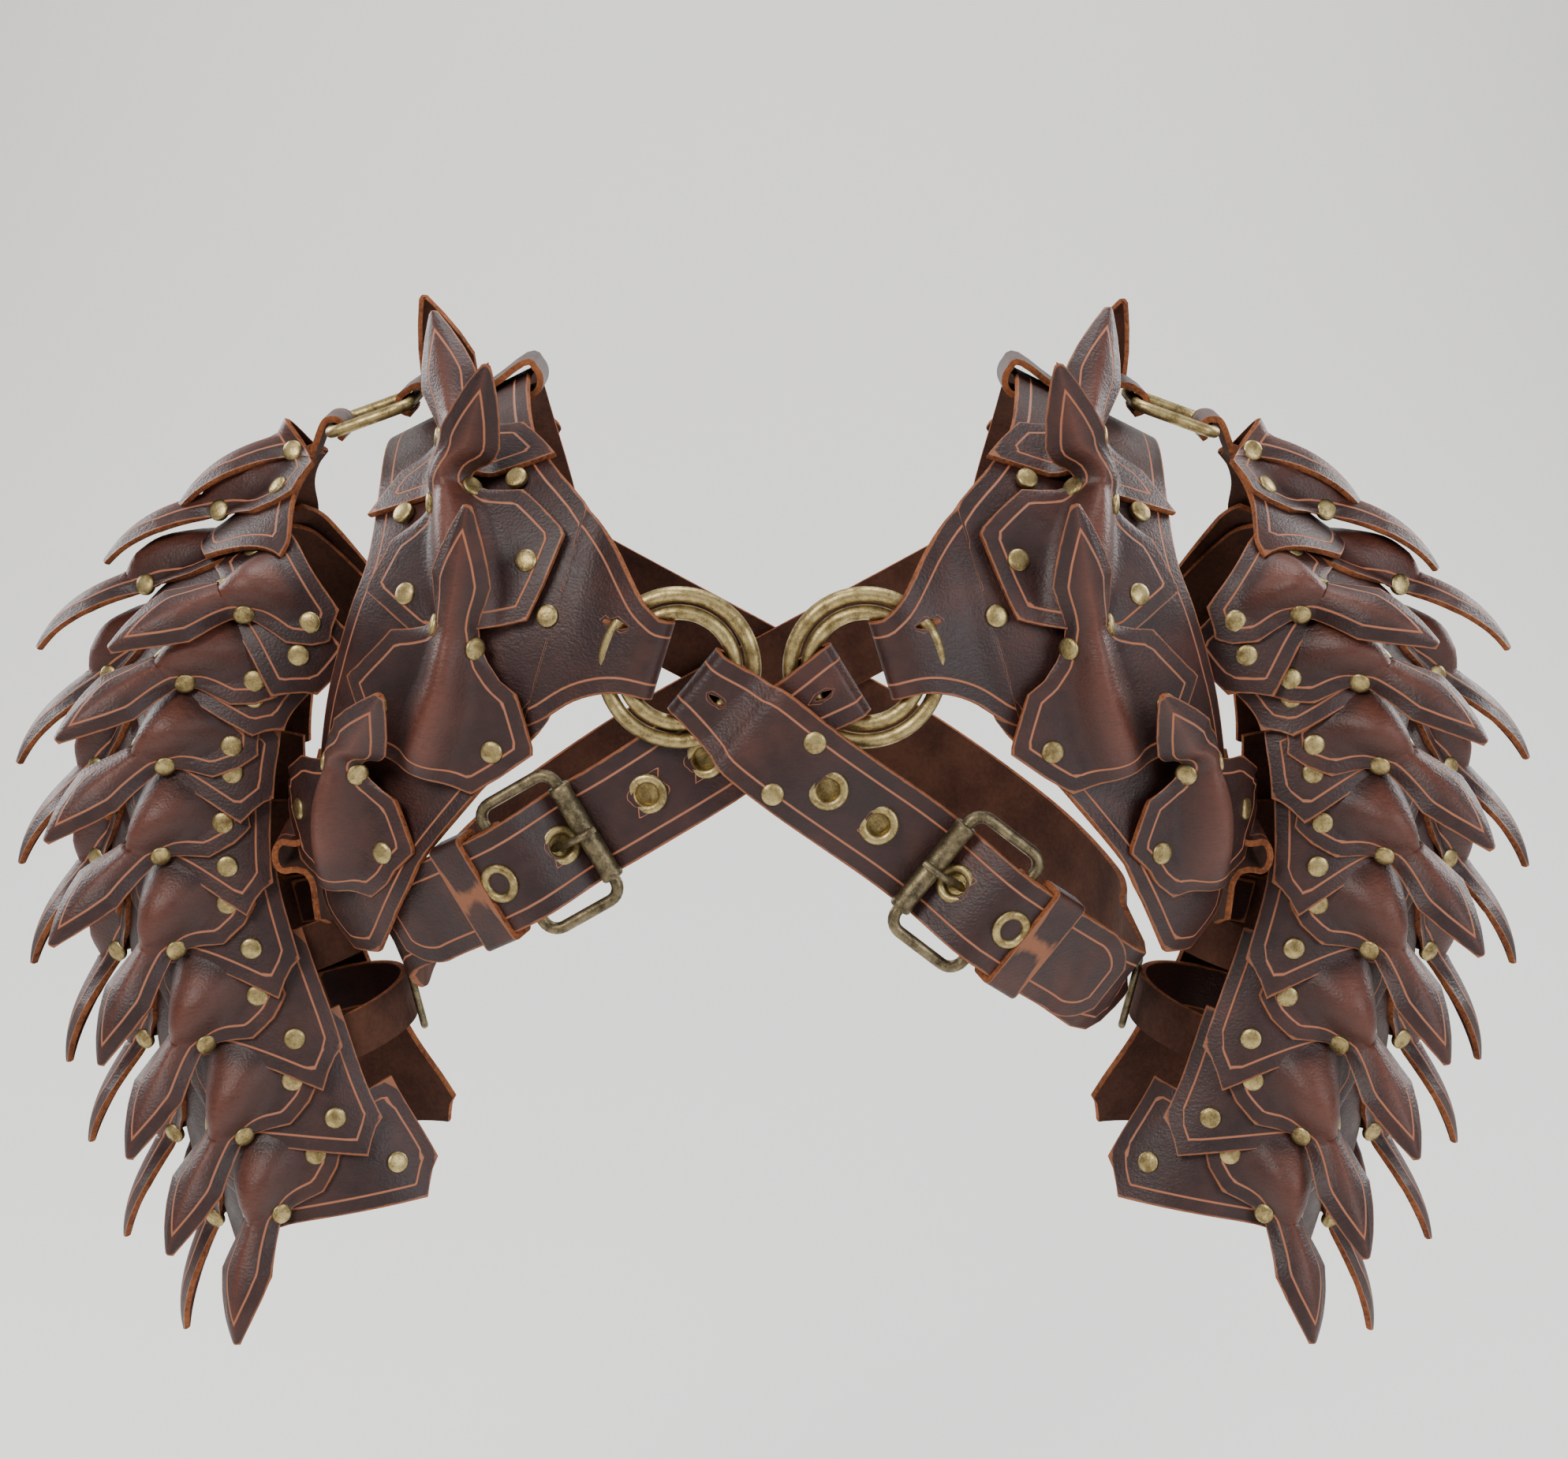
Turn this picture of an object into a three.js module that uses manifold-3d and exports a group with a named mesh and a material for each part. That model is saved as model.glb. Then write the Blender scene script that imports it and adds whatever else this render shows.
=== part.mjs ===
// Leather shoulder guards with raised scales, worn as a pair on one chest harness.
// Millimetres. x runs across the shoulders, -y is the front, z is up from the shoulder seat.
import * as THREE from "three";
import { mergeVertices } from "three/addons/utils/BufferGeometryUtils.js";
import Module from "manifold-3d";

const wasm = await Module();
wasm.setup();

// Leather and its clearances
const leather = 2.6;
const strapWidth = 40;
const gap = 0.5;

// The body that the harness follows: an oval chest with sloping shoulders
const chestDepth = 118;
const backShare = 0.9;
const chestPower = 3;
const foldHeight = -100;
const dropLength = 100;
const ridge = { highX: 105, flatX: 60, fall: 0.5 };
const bodyWidths = [
  { z: 0, half: 170 },
  { z: -100, half: 186 },
  { z: -180, half: 188 },
  { z: -250, half: 152 },
  { z: -400, half: 140 },
];

// Chest panel, from its back end over the shoulder to its tip under the arm.
// Each row is one section: inner and outer edge as seen from the front, and the height off the body.
const panelColumns = 6;
const panelFace = 3;
const panelRows = [
  { back: true, inX: 72, inZ: -120, outX: 122, outZ: -130, lift: 0 },
  { back: true, inX: 84, inZ: -75, outX: 140, outZ: -85, lift: 0 },
  { back: true, inX: 94, inZ: -25, outX: 153, outZ: -48, lift: 0 },
  { back: true, inX: 97, inZ: -1, outX: 155, outZ: -29, lift: 0 },
  { inX: 98, inZ: 3, outX: 156, outZ: -26, lift: 0 },
  { inX: 94, inZ: -10, outX: 155, outZ: -42, lift: 0 },
  { inX: 85, inZ: -23, outX: 157, outZ: -62, lift: 0 },
  { inX: 66, inZ: -46, outX: 164, outZ: -82, lift: 0 },
  { inX: 76, inZ: -68, outX: 172, outZ: -108, lift: 0 },
  { inX: 82, inZ: -93, outX: 177, outZ: -132, lift: 0 },
  { inX: 86, inZ: -117, outX: 179, outZ: -152, lift: 0 },
  { inX: 112, inZ: -145, outX: 177, outZ: -178, lift: 3.2 },
  { inX: 133, inZ: -175, outX: 170, outZ: -198, lift: 9.4 },
  { inX: 148, inZ: -212, outX: 158, outZ: -214, lift: 9.4 },
];

// Breastbone rings, a large and a small one in each panel end
const ringX = 35.5;
const ringY = -122;
const ringZ = -95;
const ringWire = 3;
const ringRadii = { outer: 28.5, inner: 21.5 };
const loopHalf = 15;
const foldRadius = 12.3;
const foldBend = ringWire + gap + leather / 2;
const panelPull = 17;
const panelOverlap = [[68, 18], [57, 22], [48, 24]];

// Straps across the chest: the angle below level, and how far each stands off the ring plane
const crossStraps = [
  {
    side: 1, angle: 38.7,
    route: [[24, 4.8, 17], [31, 8, 18], [38, 11.2, 20], [62, 11.2, 20], [84, 5, 20]],
  },
  {
    side: -1, angle: 31,
    route: [[33, 4.8, 12.5], [45, -8.9, 12.5], [60, -8.9, 20]],
  },
];
const foldBack = 25;
const buckleAt = 124;
const strapRest = 1.8;
const strapStart = -16;
const strapClimb = 4.6;
const climbFrom = 9;
const tailEnd = 88;
const tailPoint = { length: 11, half: 9 };

// Roller buckle, measured along the strap from its roller
const buckle = { length: 33, half: 28, corner: 6, wire: 2.4, plane: 8 };
const roller = { radius: 4.5, bore: 2.9, half: 21 };
const prongRadius = 1.8;
const prongPath = [[19, 4.3], [12.4, 6.2], [6, 11.7]];
const eyeletHole = 5.2;
const eyeletsBefore = [-53, -27];
const eyeletAfter = 12;
const strapFall = 0.3;
const keeper = { at: 50, length: 16 };

// Side strap, from the buckle round the side and across the back to the other shoulder
const sideRoute = [
  { x: 147, y: -14, z: -231 },
  { x: 144, y: 30, z: -229 },
  { x: 116, y: 82, z: -212 },
  { x: 60, y: 109, z: -178 },
  { x: 0, y: 115, z: -146 },
  { x: -55, y: 114, z: -116 },
  { x: -92, y: 110, z: -95 },
];
const backCrossing = { from: 90, step: 5 };
const backOval = { x: 170, y: 112 };

// Shoulder strap and buckle
const shoulderStrap = { half: 17, loopX: 101, bend: 7, endX: 142, under: 3.2 };
const shoulderBuckle = { x: 147, z: -6, length: 34, slope: 20, half: 25, wire: 2.4, corner: 6 };

// Arm guard. Each row is one scale's neck on the outermost line of the arm:
// its place, the tilt of the outward direction, how far the front is raised, and its scales' attitude.
const armRadius = 58;
const armPitch = 38;
const armRows = [
  { out: 198.5, up: -26, tilt: 49, rise: 4, spread: 50, lift: 5, sideLift: 5, fan: 8, lap: 7.1 },
  { out: 225, up: -56, tilt: 45, rise: 17, spread: 54, lift: 5, sideLift: 5, fan: 8, lap: 7.1 },
  { out: 256, up: -87, tilt: 34, rise: 28, spread: 57, lift: 7, sideLift: 6, fan: 10, lap: 7.5 },
  { out: 271, up: -124, tilt: 16, rise: 27, spread: 57, lift: 15, sideLift: 12, fan: 16, lap: 7.2 },
  { out: 277, up: -162, tilt: 6, rise: 23, spread: 57, lift: 19, sideLift: 18, fan: 23, lap: 6.6 },
  { out: 278, up: -200, tilt: -4, rise: 18, spread: 57, lift: 20, sideLift: 20, fan: 23, lap: 6.2 },
  { out: 271, up: -239, tilt: -12, rise: 12, spread: 57, lift: 25, sideLift: 21, fan: 26, lap: 5.8 },
  { out: 261, up: -277, tilt: -16, rise: 8, spread: 58, lift: 29, sideLift: 25, fan: 29, lap: 6.6 },
  { out: 250, up: -318, tilt: -20, rise: 6, spread: 62, lift: 32, sideLift: 24, fan: 27, lap: 5.6 },
  { out: 234, up: -356, tilt: -26, rise: 6, spread: 62, lift: 28, sideLift: 18, fan: 20, lap: 5.4 },
];
const capPlateRow = 2;
const firstLameRow = 3;
const skewReach = 60;
const lameTop = -0.85;
const lameMiddle = 0.12;
// Lower edge of a lame, in pitches below its scale's neck: points between arches
const lameEdge = [
  { angle: 0, reach: 0.2 },
  { angle: 13, reach: 0.23 },
  { angle: 28, reach: 0.62 },
  { angle: 44, reach: 0.23 },
  { angle: 66, reach: 0.23 },
];
// Outermost point of each lame, from the top one down, and the corner past it
const lamePoints = [
  { angle: 95, reach: 0.55 },
  { angle: 95, reach: 0.35 },
  { angle: 95, reach: 0.6 },
  { angle: 95, reach: 0.8 },
  { angle: 98, reach: 0.8 },
  { angle: 104, reach: 0.88 },
  { angle: 110, reach: 0.85 },
  { angle: 125, reach: 0.75 },
];
const lameCorner = { angle: 12, reach: -0.35 };
const capRows = [
  { row: 0.85, half: 17 },
  { row: 1.3, half: 34 },
  { row: 1.8, half: 52 },
  { row: 2.12, half: 57 },
];
const capEdge = [
  { angle: 0, reach: 0.25 },
  { angle: 30, reach: 0.55 },
  { angle: 60, reach: 0.1 },
];
const capTongue = 14;

// Arm straps on the inner side of the arm
const armStraps = [
  { name: "upper", row: 7.45, half: 9.5, inset: 10.1 },
  { name: "lower", row: 8.55, half: 9.5, inset: 9.0 },
];
const armStrapStart = 96;
const armStrapSteps = 8;
const armBuckle = { angle: 168, room: 2, length: 20, wire: 1.6, corner: 3, lift: 2.5 };

// One die cuts every scale. Along is measured from the point of its base to the tip of its spike.
// Edge, foot and crest are the flap's rim, the foot of the ridge and the ridge itself.
const die = {
  base: { edge: [12, 26, 0], foot: [3, 10, 0.5], crest: [0, 0, 3] },
  corner: { edge: [36, 38, 0], foot: [34, 11, 1], crest: [30, 0, 12] },
  neck: { edge: [52, 9.5, 1], foot: [52, 7, 6.5], crest: [52, 0, 11] },
  leaf: { edge: [74, 12, 5], foot: [74, 6.5, 9], crest: [74, 0, 11] },
  tip: { edge: [104, 1.8, 10], foot: [104, 0.9, 10.6], crest: [104, 0, 11] },
};
const dieNeck = die.neck.crest[0];
const dieLength = die.tip.crest[0];
// A scale that comes out from under the plate above shows only its lower part, and the top one its spike
const tucked = { edge: [32, 34.5, 0], foot: [30, 11, 0.5], crest: [29, 0, 10.8] };
const spikeRoot = { edge: [46, 12, 0], foot: [46, 7.5, 4], crest: [46, 0, 9] };
const wholeScale = [die.base, die.corner, die.neck, die.leaf, die.tip];
const tuckedScale = [tucked, die.neck, die.leaf, die.tip];
const spikeOnly = [spikeRoot, die.neck, die.leaf, die.tip];
const sink = 0.9;

const chestScales = [
  { name: "chest_scale_1", x: 119, z: -53, heading: 0, lift: 22, turn: 0, seat: -1.1, cut: tuckedScale },
  { name: "chest_scale_2", x: 112, z: -84, heading: 8, lift: 46, turn: -32, seat: 1.7 },
  { name: "chest_scale_3", x: 132, z: -139, heading: -18, lift: 16, turn: -4, seat: 2.5 },
  { name: "chest_scale_4", x: 164, z: -184, heading: -12, lift: 13, turn: -26, seat: 6.3 },
  { name: "back_scale", x: 127, z: -62, heading: 0, lift: 30, turn: 0, seat: 0.3, back: true },
];
// Scale under the arm, which points backwards along the body's side
const sideScale = { x: 186, y: -69, z: -182.5, rise: 6, lift: 0, round: 300 };
const scaleSeat = 1.3;

const finishes = {
  leather: new THREE.MeshStandardMaterial({ color: 0x4f2419, roughness: 0.5, metalness: 0 }),
  brass: new THREE.MeshStandardMaterial({ color: 0x8d7340, roughness: 0.4, metalness: 1 }),
  darkBrass: new THREE.MeshStandardMaterial({ color: 0x5a4d35, roughness: 0.45, metalness: 1 }),
};

const point = (x, y, z) => new THREE.Vector3(x, y, z);
const rad = THREE.MathUtils.degToRad;
const mix = THREE.MathUtils.lerp;
const along = (start, dir, length) => start.clone().addScaledVector(dir, length);

// Closed mesh from corners and faces, turned so that its faces point out
function closedMesh(corners, faces) {
  const volume = faces.reduce((sum, [a, b, c]) => {
    const turned = corners[b].clone().cross(corners[c]);
    return sum + corners[a].dot(turned);
  }, 0);
  const index = faces.flatMap(([a, b, c]) => (volume < 0 ? [a, c, b] : [a, b, c]));
  const geometry = new THREE.BufferGeometry().setFromPoints(corners);
  return geometry.setIndex(index);
}

// Two triangles for each cell of a grid of corner numbers
function cells(numberAt, rows, columns) {
  const faces = [];
  for (let i = 0; i + 1 < rows; i++) {
    for (let j = 0; j + 1 < columns; j++) {
      const [a, b] = [numberAt(i, j), numberAt(i, j + 1)];
      const [c, d] = [numberAt(i + 1, j), numberAt(i + 1, j + 1)];
      faces.push([a, b, d], [a, d, c]);
    }
  }
  return faces;
}

// Leather wall whose outer face is a grid of points; it reaches inward from that face
function wall(grid, thickness = leather) {
  const rows = grid.length;
  const columns = grid[0].length;
  const step = (i, j, di, dj) => {
    const before = grid[Math.max(i - di, 0)][Math.max(j - dj, 0)];
    const after = grid[Math.min(i + di, rows - 1)][Math.min(j + dj, columns - 1)];
    return after.clone().sub(before);
  };
  const inner = grid.map((line, i) =>
    line.map((p, j) => along(p, step(i, j, 1, 0).cross(step(i, j, 0, 1)).normalize(), -thickness)),
  );
  const count = rows * columns;
  const outerAt = (i, j) => i * columns + j;
  const innerAt = (i, j) => count + outerAt(i, j);
  const faces = cells(outerAt, rows, columns);
  cells(innerAt, rows, columns).forEach(([a, b, c]) => faces.push([a, c, b]));
  const rim = [];
  for (let j = 0; j + 1 < columns; j++) rim.push([0, j]);
  for (let i = 0; i + 1 < rows; i++) rim.push([i, columns - 1]);
  for (let j = columns - 1; j > 0; j--) rim.push([rows - 1, j]);
  for (let i = rows - 1; i > 0; i--) rim.push([i, 0]);
  rim.forEach(([i, j], k) => {
    const [m, n] = rim[(k + 1) % rim.length];
    faces.push([outerAt(i, j), innerAt(m, n), outerAt(m, n)]);
    faces.push([outerAt(i, j), innerAt(i, j), innerAt(m, n)]);
  });
  return closedMesh([...grid.flat(), ...inner.flat()], faces);
}

// Strap of rectangular section along a row of { at, side, half }, at the middle of its thickness
function strap(sections, thickness = leather) {
  const corners = [];
  sections.forEach(({ at, side, half }, i) => {
    const before = sections[Math.max(i - 1, 0)].at;
    const after = sections[Math.min(i + 1, sections.length - 1)].at;
    const run = after.clone().sub(before).normalize();
    const up = run.clone().cross(side).normalize();
    const across = up.clone().cross(run);
    for (const [s, u] of [[-1, -1], [1, -1], [1, 1], [-1, 1]]) {
      corners.push(along(along(at, across, s * half), up, (u * thickness) / 2));
    }
  });
  const last = sections.length - 1;
  const cornerAt = (i, j) => i * 4 + (j % 4);
  const faces = cells(cornerAt, sections.length, 5);
  faces.push([cornerAt(0, 0), cornerAt(0, 2), cornerAt(0, 1)]);
  faces.push([cornerAt(0, 0), cornerAt(0, 3), cornerAt(0, 2)]);
  faces.push([cornerAt(last, 0), cornerAt(last, 1), cornerAt(last, 2)]);
  faces.push([cornerAt(last, 0), cornerAt(last, 2), cornerAt(last, 3)]);
  return closedMesh(corners, faces);
}

// Closed loop of round wire with cut corners in the plane of u and v
function wireFrame(centre, u, v, { length, half, corner, wire }, sides = 6) {
  const far = [length - corner, length];
  const outline = [
    [0, corner - half], [0, half - corner], [corner, half], [far[0], half],
    [far[1], half - corner], [far[1], corner - half], [far[0], -half], [corner, -half],
  ];
  const w = u.clone().cross(v);
  const places = outline.map(([a, b]) => along(along(centre, u, a), v, b));
  const corners = [];
  places.forEach((p, i) => {
    const before = places[(i + places.length - 1) % places.length];
    const after = places[(i + 1) % places.length];
    const incoming = p.clone().sub(before).normalize();
    const leaving = after.clone().sub(p).normalize();
    const outward = incoming.clone().add(leaving).normalize().cross(w);
    const stretch = 1 / Math.sqrt((1 + incoming.dot(leaving)) / 2);
    for (let k = 0; k < sides; k++) {
      const turn = (2 * Math.PI * (k + 0.5)) / sides;
      const reach = wire * Math.cos(turn) * stretch;
      corners.push(along(along(p, outward, reach), w, wire * Math.sin(turn)));
    }
  });
  const numberAt = (i, k) => (i % places.length) * sides + (k % sides);
  return closedMesh(corners, cells(numberAt, places.length + 1, sides + 1));
}

function solidOf(geometry) {
  const bare = geometry.clone();
  bare.deleteAttribute("normal");
  bare.deleteAttribute("uv");
  const merged = mergeVertices(bare, 1e-4);
  return new wasm.Manifold(
    new wasm.Mesh({
      numProp: 3,
      vertProperties: new Float32Array(merged.attributes.position.array),
      triVerts: new Uint32Array(merged.index.array),
    }),
  );
}

function geometryOf(solid) {
  const { vertProperties, triVerts } = solid.getMesh();
  const geometry = new THREE.BufferGeometry();
  geometry.setAttribute("position", new THREE.BufferAttribute(vertProperties, 3));
  return geometry.setIndex(new THREE.BufferAttribute(triVerts, 1));
}

const fused = (...geometries) => geometryOf(geometries.map(solidOf).reduce((a, b) => a.add(b)));
const cutBy = (geometry, tools) =>
  geometryOf(tools.map(solidOf).reduce((a, b) => a.subtract(b), solidOf(geometry)));

function mirrored(geometry) {
  const copy = geometry.clone().applyMatrix4(new THREE.Matrix4().makeScale(-1, 1, 1));
  const index = copy.index.array;
  for (let i = 0; i < index.length; i += 3) {
    [index[i + 1], index[i + 2]] = [index[i + 2], index[i + 1]];
  }
  return copy;
}

const part = new THREE.Group();
function add(name, geometry, finish) {
  const mesh = new THREE.Mesh(geometry, finish);
  mesh.name = name;
  part.add(mesh);
}
function addPair(name, geometry, finish) {
  add(name + "_l", geometry, finish);
  add(name + "_r", mirrored(geometry), finish);
}

// Body surface. A point is given by x and its drop: 0 on the shoulder ridge, 1 where the chest
// turns upright, more below that, and negative down the back.
function tableAt(rows, key, value, column) {
  const next = rows.findIndex((row) => row[key] <= value);
  if (next <= 0) return rows[next === 0 ? 0 : rows.length - 1][column];
  const [a, b] = [rows[next - 1], rows[next]];
  return mix(a[column], b[column], (value - a[key]) / (b[key] - a[key]));
}
const ridgeHeight = (x) => ridge.fall * (ridge.highX - Math.max(Math.abs(x), ridge.flatX));
function dropOf(x, z) {
  if (z < foldHeight) return 1 + (foldHeight - z) / dropLength;
  const share = (z - foldHeight) / (ridgeHeight(x) - foldHeight);
  return Math.acos(Math.min(share, 1)) / (Math.PI / 2);
}
function bodySurface(x, drop) {
  const turn = Math.min(Math.abs(drop), 1) * (Math.PI / 2);
  const below = Math.max(Math.abs(drop) - 1, 0) * dropLength;
  const z = foldHeight - below + (ridgeHeight(x) - foldHeight) * Math.cos(turn);
  const share = Math.min(Math.abs(x) / tableAt(bodyWidths, "z", z, "half"), 0.985);
  const depth = chestDepth * (1 - share ** chestPower) ** (1 / chestPower);
  const front = drop < 0 ? backShare : -1;
  return point(x, front * depth * Math.sin(turn), z);
}
function bodyPoint(x, drop, height) {
  const step = 0.5;
  const acrossX = bodySurface(x + step, drop).sub(bodySurface(x - step, drop));
  const slope = step / dropLength;
  const downward = bodySurface(x, drop + slope).sub(bodySurface(x, drop - slope));
  return along(bodySurface(x, drop), downward.cross(acrossX).normalize(), height);
}

// Sheet of a scale. place(along, across, height) lays the flaps on what carries them, and the
// spike leaves that surface at the neck, rising at the lift angle.
function scaleSheet(place, lift, stations = wholeScale, sway = 0) {
  const neck = place(dieNeck, 0, 0);
  const forward = neck.clone().sub(place(dieNeck - 6, 0, 0)).normalize();
  const outward = place(dieNeck, 0, 1).sub(neck).normalize();
  const sideways = outward.clone().cross(forward);
  if (place(dieNeck, 1, 0).sub(neck).dot(sideways) < 0) sideways.negate();
  const swung = (axis) => {
    const kept = axis.clone().multiplyScalar(Math.cos(rad(sway)));
    return along(kept, sideways, Math.sin(rad(sway)));
  };
  const ahead = swung(forward);
  const lifted = swung(outward).addScaledVector(ahead, -swung(outward).dot(ahead)).normalize();
  const beside = lifted.clone().cross(ahead);
  if (beside.dot(sideways) < 0) beside.negate();
  const spike = (a, b, h) => {
    const run = a - dieNeck;
    const turn = rad(lift) * mix(0.75, 1, run / (dieLength - dieNeck));
    const on = along(along(neck, ahead, run * Math.cos(turn)), beside, b);
    return along(on, lifted, h + run * Math.sin(turn));
  };
  const grid = stations.map(({ edge, foot, crest }) => {
    const lay = ([a, b, h], side) => (a > dieNeck ? spike(a, side * b, h) : place(a, side * b, h));
    return [lay(edge, -1), lay(foot, -1), lay(crest, 1), lay(foot, 1), lay(edge, 1)];
  });
  const facing = grid[1][2].clone().sub(grid[0][2]).cross(grid[1][3].clone().sub(grid[1][2]));
  return wall(facing.dot(outward) < 0 ? grid.map((line) => line.reverse()) : grid);
}

// Chest panel and the loop of its end through the rings
function ringPath(ring, pull, across, path) {
  const front = point(0, -1, 0);
  return path.map(([r, w, half]) => ({
    at: along(along(ring, pull, r), front, w),
    side: across,
    half,
  }));
}
const foldTurns = [45, 90, 135].map((t) => [
  foldRadius - foldBend * Math.sin(rad(t)), foldBend * Math.cos(rad(t)), loopHalf,
]);
function chestPanel() {
  const grid = panelRows.map(({ back, inX, inZ, outX, outZ, lift }) => {
    const turn = back ? -1 : 1;
    const line = [];
    for (let j = 0; j < panelColumns; j++) {
      const t = j / (panelColumns - 1);
      const drop = turn * mix(dropOf(inX, inZ), dropOf(outX, outZ), t);
      line.push(bodyPoint(mix(inX, outX, t), drop, panelFace + lift));
    }
    return line;
  });
  const ring = point(ringX, ringY, ringZ);
  const pull = point(Math.cos(rad(panelPull)), 0, Math.sin(rad(panelPull)));
  const across = pull.clone().cross(point(0, 1, 0));
  const onPanel = ([r, half]) => {
    const lay = (v) => {
      const spot = along(along(ring, pull, r), across, v);
      return bodyPoint(spot.x, dropOf(spot.x, spot.z), panelFace - leather / 2);
    };
    return { at: lay(0), side: lay(half).sub(lay(-half)).normalize(), half };
  };
  const loop = strap([
    ...panelOverlap.map(onPanel),
    ...ringPath(ring, pull, across, [
      [34, foldBend, 19.5], [foldRadius, foldBend, loopHalf], ...foldTurns,
      [foldRadius, -foldBend, loopHalf], [foldBack, -foldBend, loopHalf],
    ]),
  ]);
  return fused(wall(grid), loop);
}

// Cross strap with its buckle, keeper and side strap, for the side that the buckle is on
function crossStrap({ side, angle, route }) {
  const ring = point(-ringX, ringY, ringZ);
  const pull = point(Math.cos(rad(angle)), 0, -Math.sin(rad(angle)));
  const across = pull.clone().cross(point(0, 1, 0));
  const onBody = (r, height) => {
    const spot = along(ring, pull, r);
    return bodyPoint(spot.x, dropOf(spot.x, spot.z), height);
  };
  const origin = onBody(buckleAt, 0);
  const u = onBody(buckleAt + 20, 0).sub(onBody(buckleAt - 10, 0)).normalize();
  const normal = onBody(buckleAt, 1).sub(origin).normalize();
  const v = normal.clone().cross(u).normalize();
  const w = u.clone().cross(v);
  const local = (a, h, b = 0) => along(along(along(origin, u, a), w, h), v, b);
  const laid = (list) => list.map(([a, h]) => ({ at: local(a, h), side: v, half: strapWidth / 2 }));

  const heel = buckle.length;
  const topOfLoop = buckle.plane + buckle.wire + gap + leather / 2;
  const layer = (leather + gap) / Math.cos(Math.atan(strapFall));
  const floorAt = heel + (topOfLoop - strapRest) / strapFall;

  const spread = (places, height) =>
    places.map(([a, half = strapWidth / 2]) => ({ at: onBody(buckleAt + a, height), side: v, half }));
  const tongue = [
    ...ringPath(ring, pull, across, [
      [foldBack, -foldBend, loopHalf], [foldRadius, -foldBend, loopHalf], ...[...foldTurns].reverse(),
      [foldRadius, foldBend, loopHalf], ...route,
    ]),
    ...laid([
      [strapStart, strapRest], [3, strapRest], [climbFrom, strapClimb], [heel, topOfLoop + layer],
    ]),
    ...spread([[floorAt], [tailEnd - tailPoint.length], [tailEnd, tailPoint.half]], strapRest + layer),
  ];
  const eyeletTool = (a, h, tilt) => {
    const hole = new THREE.CylinderGeometry(eyeletHole, eyeletHole, 12, 8);
    const axis = along(w.clone().multiplyScalar(Math.cos(tilt)), u, Math.sin(tilt));
    hole.applyQuaternion(new THREE.Quaternion().setFromUnitVectors(point(0, 1, 0), axis));
    const place = local(a, h);
    return hole.translate(place.x, place.y, place.z);
  };
  const climb = (topOfLoop + layer - strapClimb) / (heel - climbFrom);
  const holes = [
    eyeletTool(eyeletAfter, strapClimb + climb * (eyeletAfter - climbFrom), -Math.atan(climb)),
  ];
  const to = tongue.findIndex(({ side: across }) => across === v);
  const towardsRing = tongue[to - 1].at.clone().sub(tongue[to].at).normalize();
  for (const before of eyeletsBefore) {
    const spot = along(tongue[to].at, towardsRing, strapStart - before);
    const hole = new THREE.CylinderGeometry(eyeletHole, eyeletHole, 16, 8).rotateX(Math.PI / 2);
    holes.push(hole.translate(spot.x, spot.y, spot.z));
  }
  const end = side > 0 ? "_l" : "_r";
  const put = (name, geometry, finish) => add(name + end, side > 0 ? geometry : mirrored(geometry), finish);
  put("cross_strap", cutBy(strap(tongue), holes), finishes.leather);

  put("buckle_frame", wireFrame(local(0, buckle.plane), u, v, buckle), finishes.darkBrass);
  const profile = [
    [roller.bore, -roller.half], [roller.radius, -roller.half],
    [roller.radius, roller.half], [roller.bore, roller.half], [roller.bore, -roller.half],
  ].map(([r, y]) => new THREE.Vector2(r, y));
  const barrel = new THREE.LatheGeometry(profile, 8);
  barrel.applyMatrix4(new THREE.Matrix4().makeBasis(u, v, u.clone().cross(v)));
  const rollerAt = local(0, buckle.plane);
  barrel.translate(rollerAt.x, rollerAt.y, rollerAt.z);
  put("buckle_roller", solidGeometry(barrel), finishes.darkBrass);

  const over = buckle.plane + roller.radius + gap + prongRadius;
  const prongCurve = new THREE.CatmullRomCurve3([
    local(heel - buckle.wire - leather - gap * 2.4, buckle.plane - 1),
    ...prongPath.map(([a, h]) => local(a, h)),
    local(0, over), local(-roller.radius - gap, over - prongRadius + 0.2),
  ]);
  const section = new THREE.Shape();
  section.absarc(0, 0, prongRadius, 0, 2 * Math.PI);
  const prong = new THREE.ExtrudeGeometry(section, {
    steps: 7, curveSegments: 2, bevelEnabled: false, extrudePath: prongCurve,
  });
  put("buckle_prong", solidGeometry(prong), finishes.darkBrass);

  const rampTop = local(heel, topOfLoop);
  const keeperRun = onBody(buckleAt + floorAt, strapRest).sub(rampTop).normalize();
  const keeperUp = keeperRun.clone().cross(v).normalize();
  const keeperSide = keeperUp.clone().cross(keeperRun);
  const centre = along(along(rampTop, keeperRun, keeper.at - heel), keeperUp, layer / 2);
  const room = { half: strapWidth / 2 + gap, rise: leather + gap * 1.8 };
  put("strap_keeper", keeperLoop(centre, keeperRun, keeperSide, keeperUp, room), finishes.leather);

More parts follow.
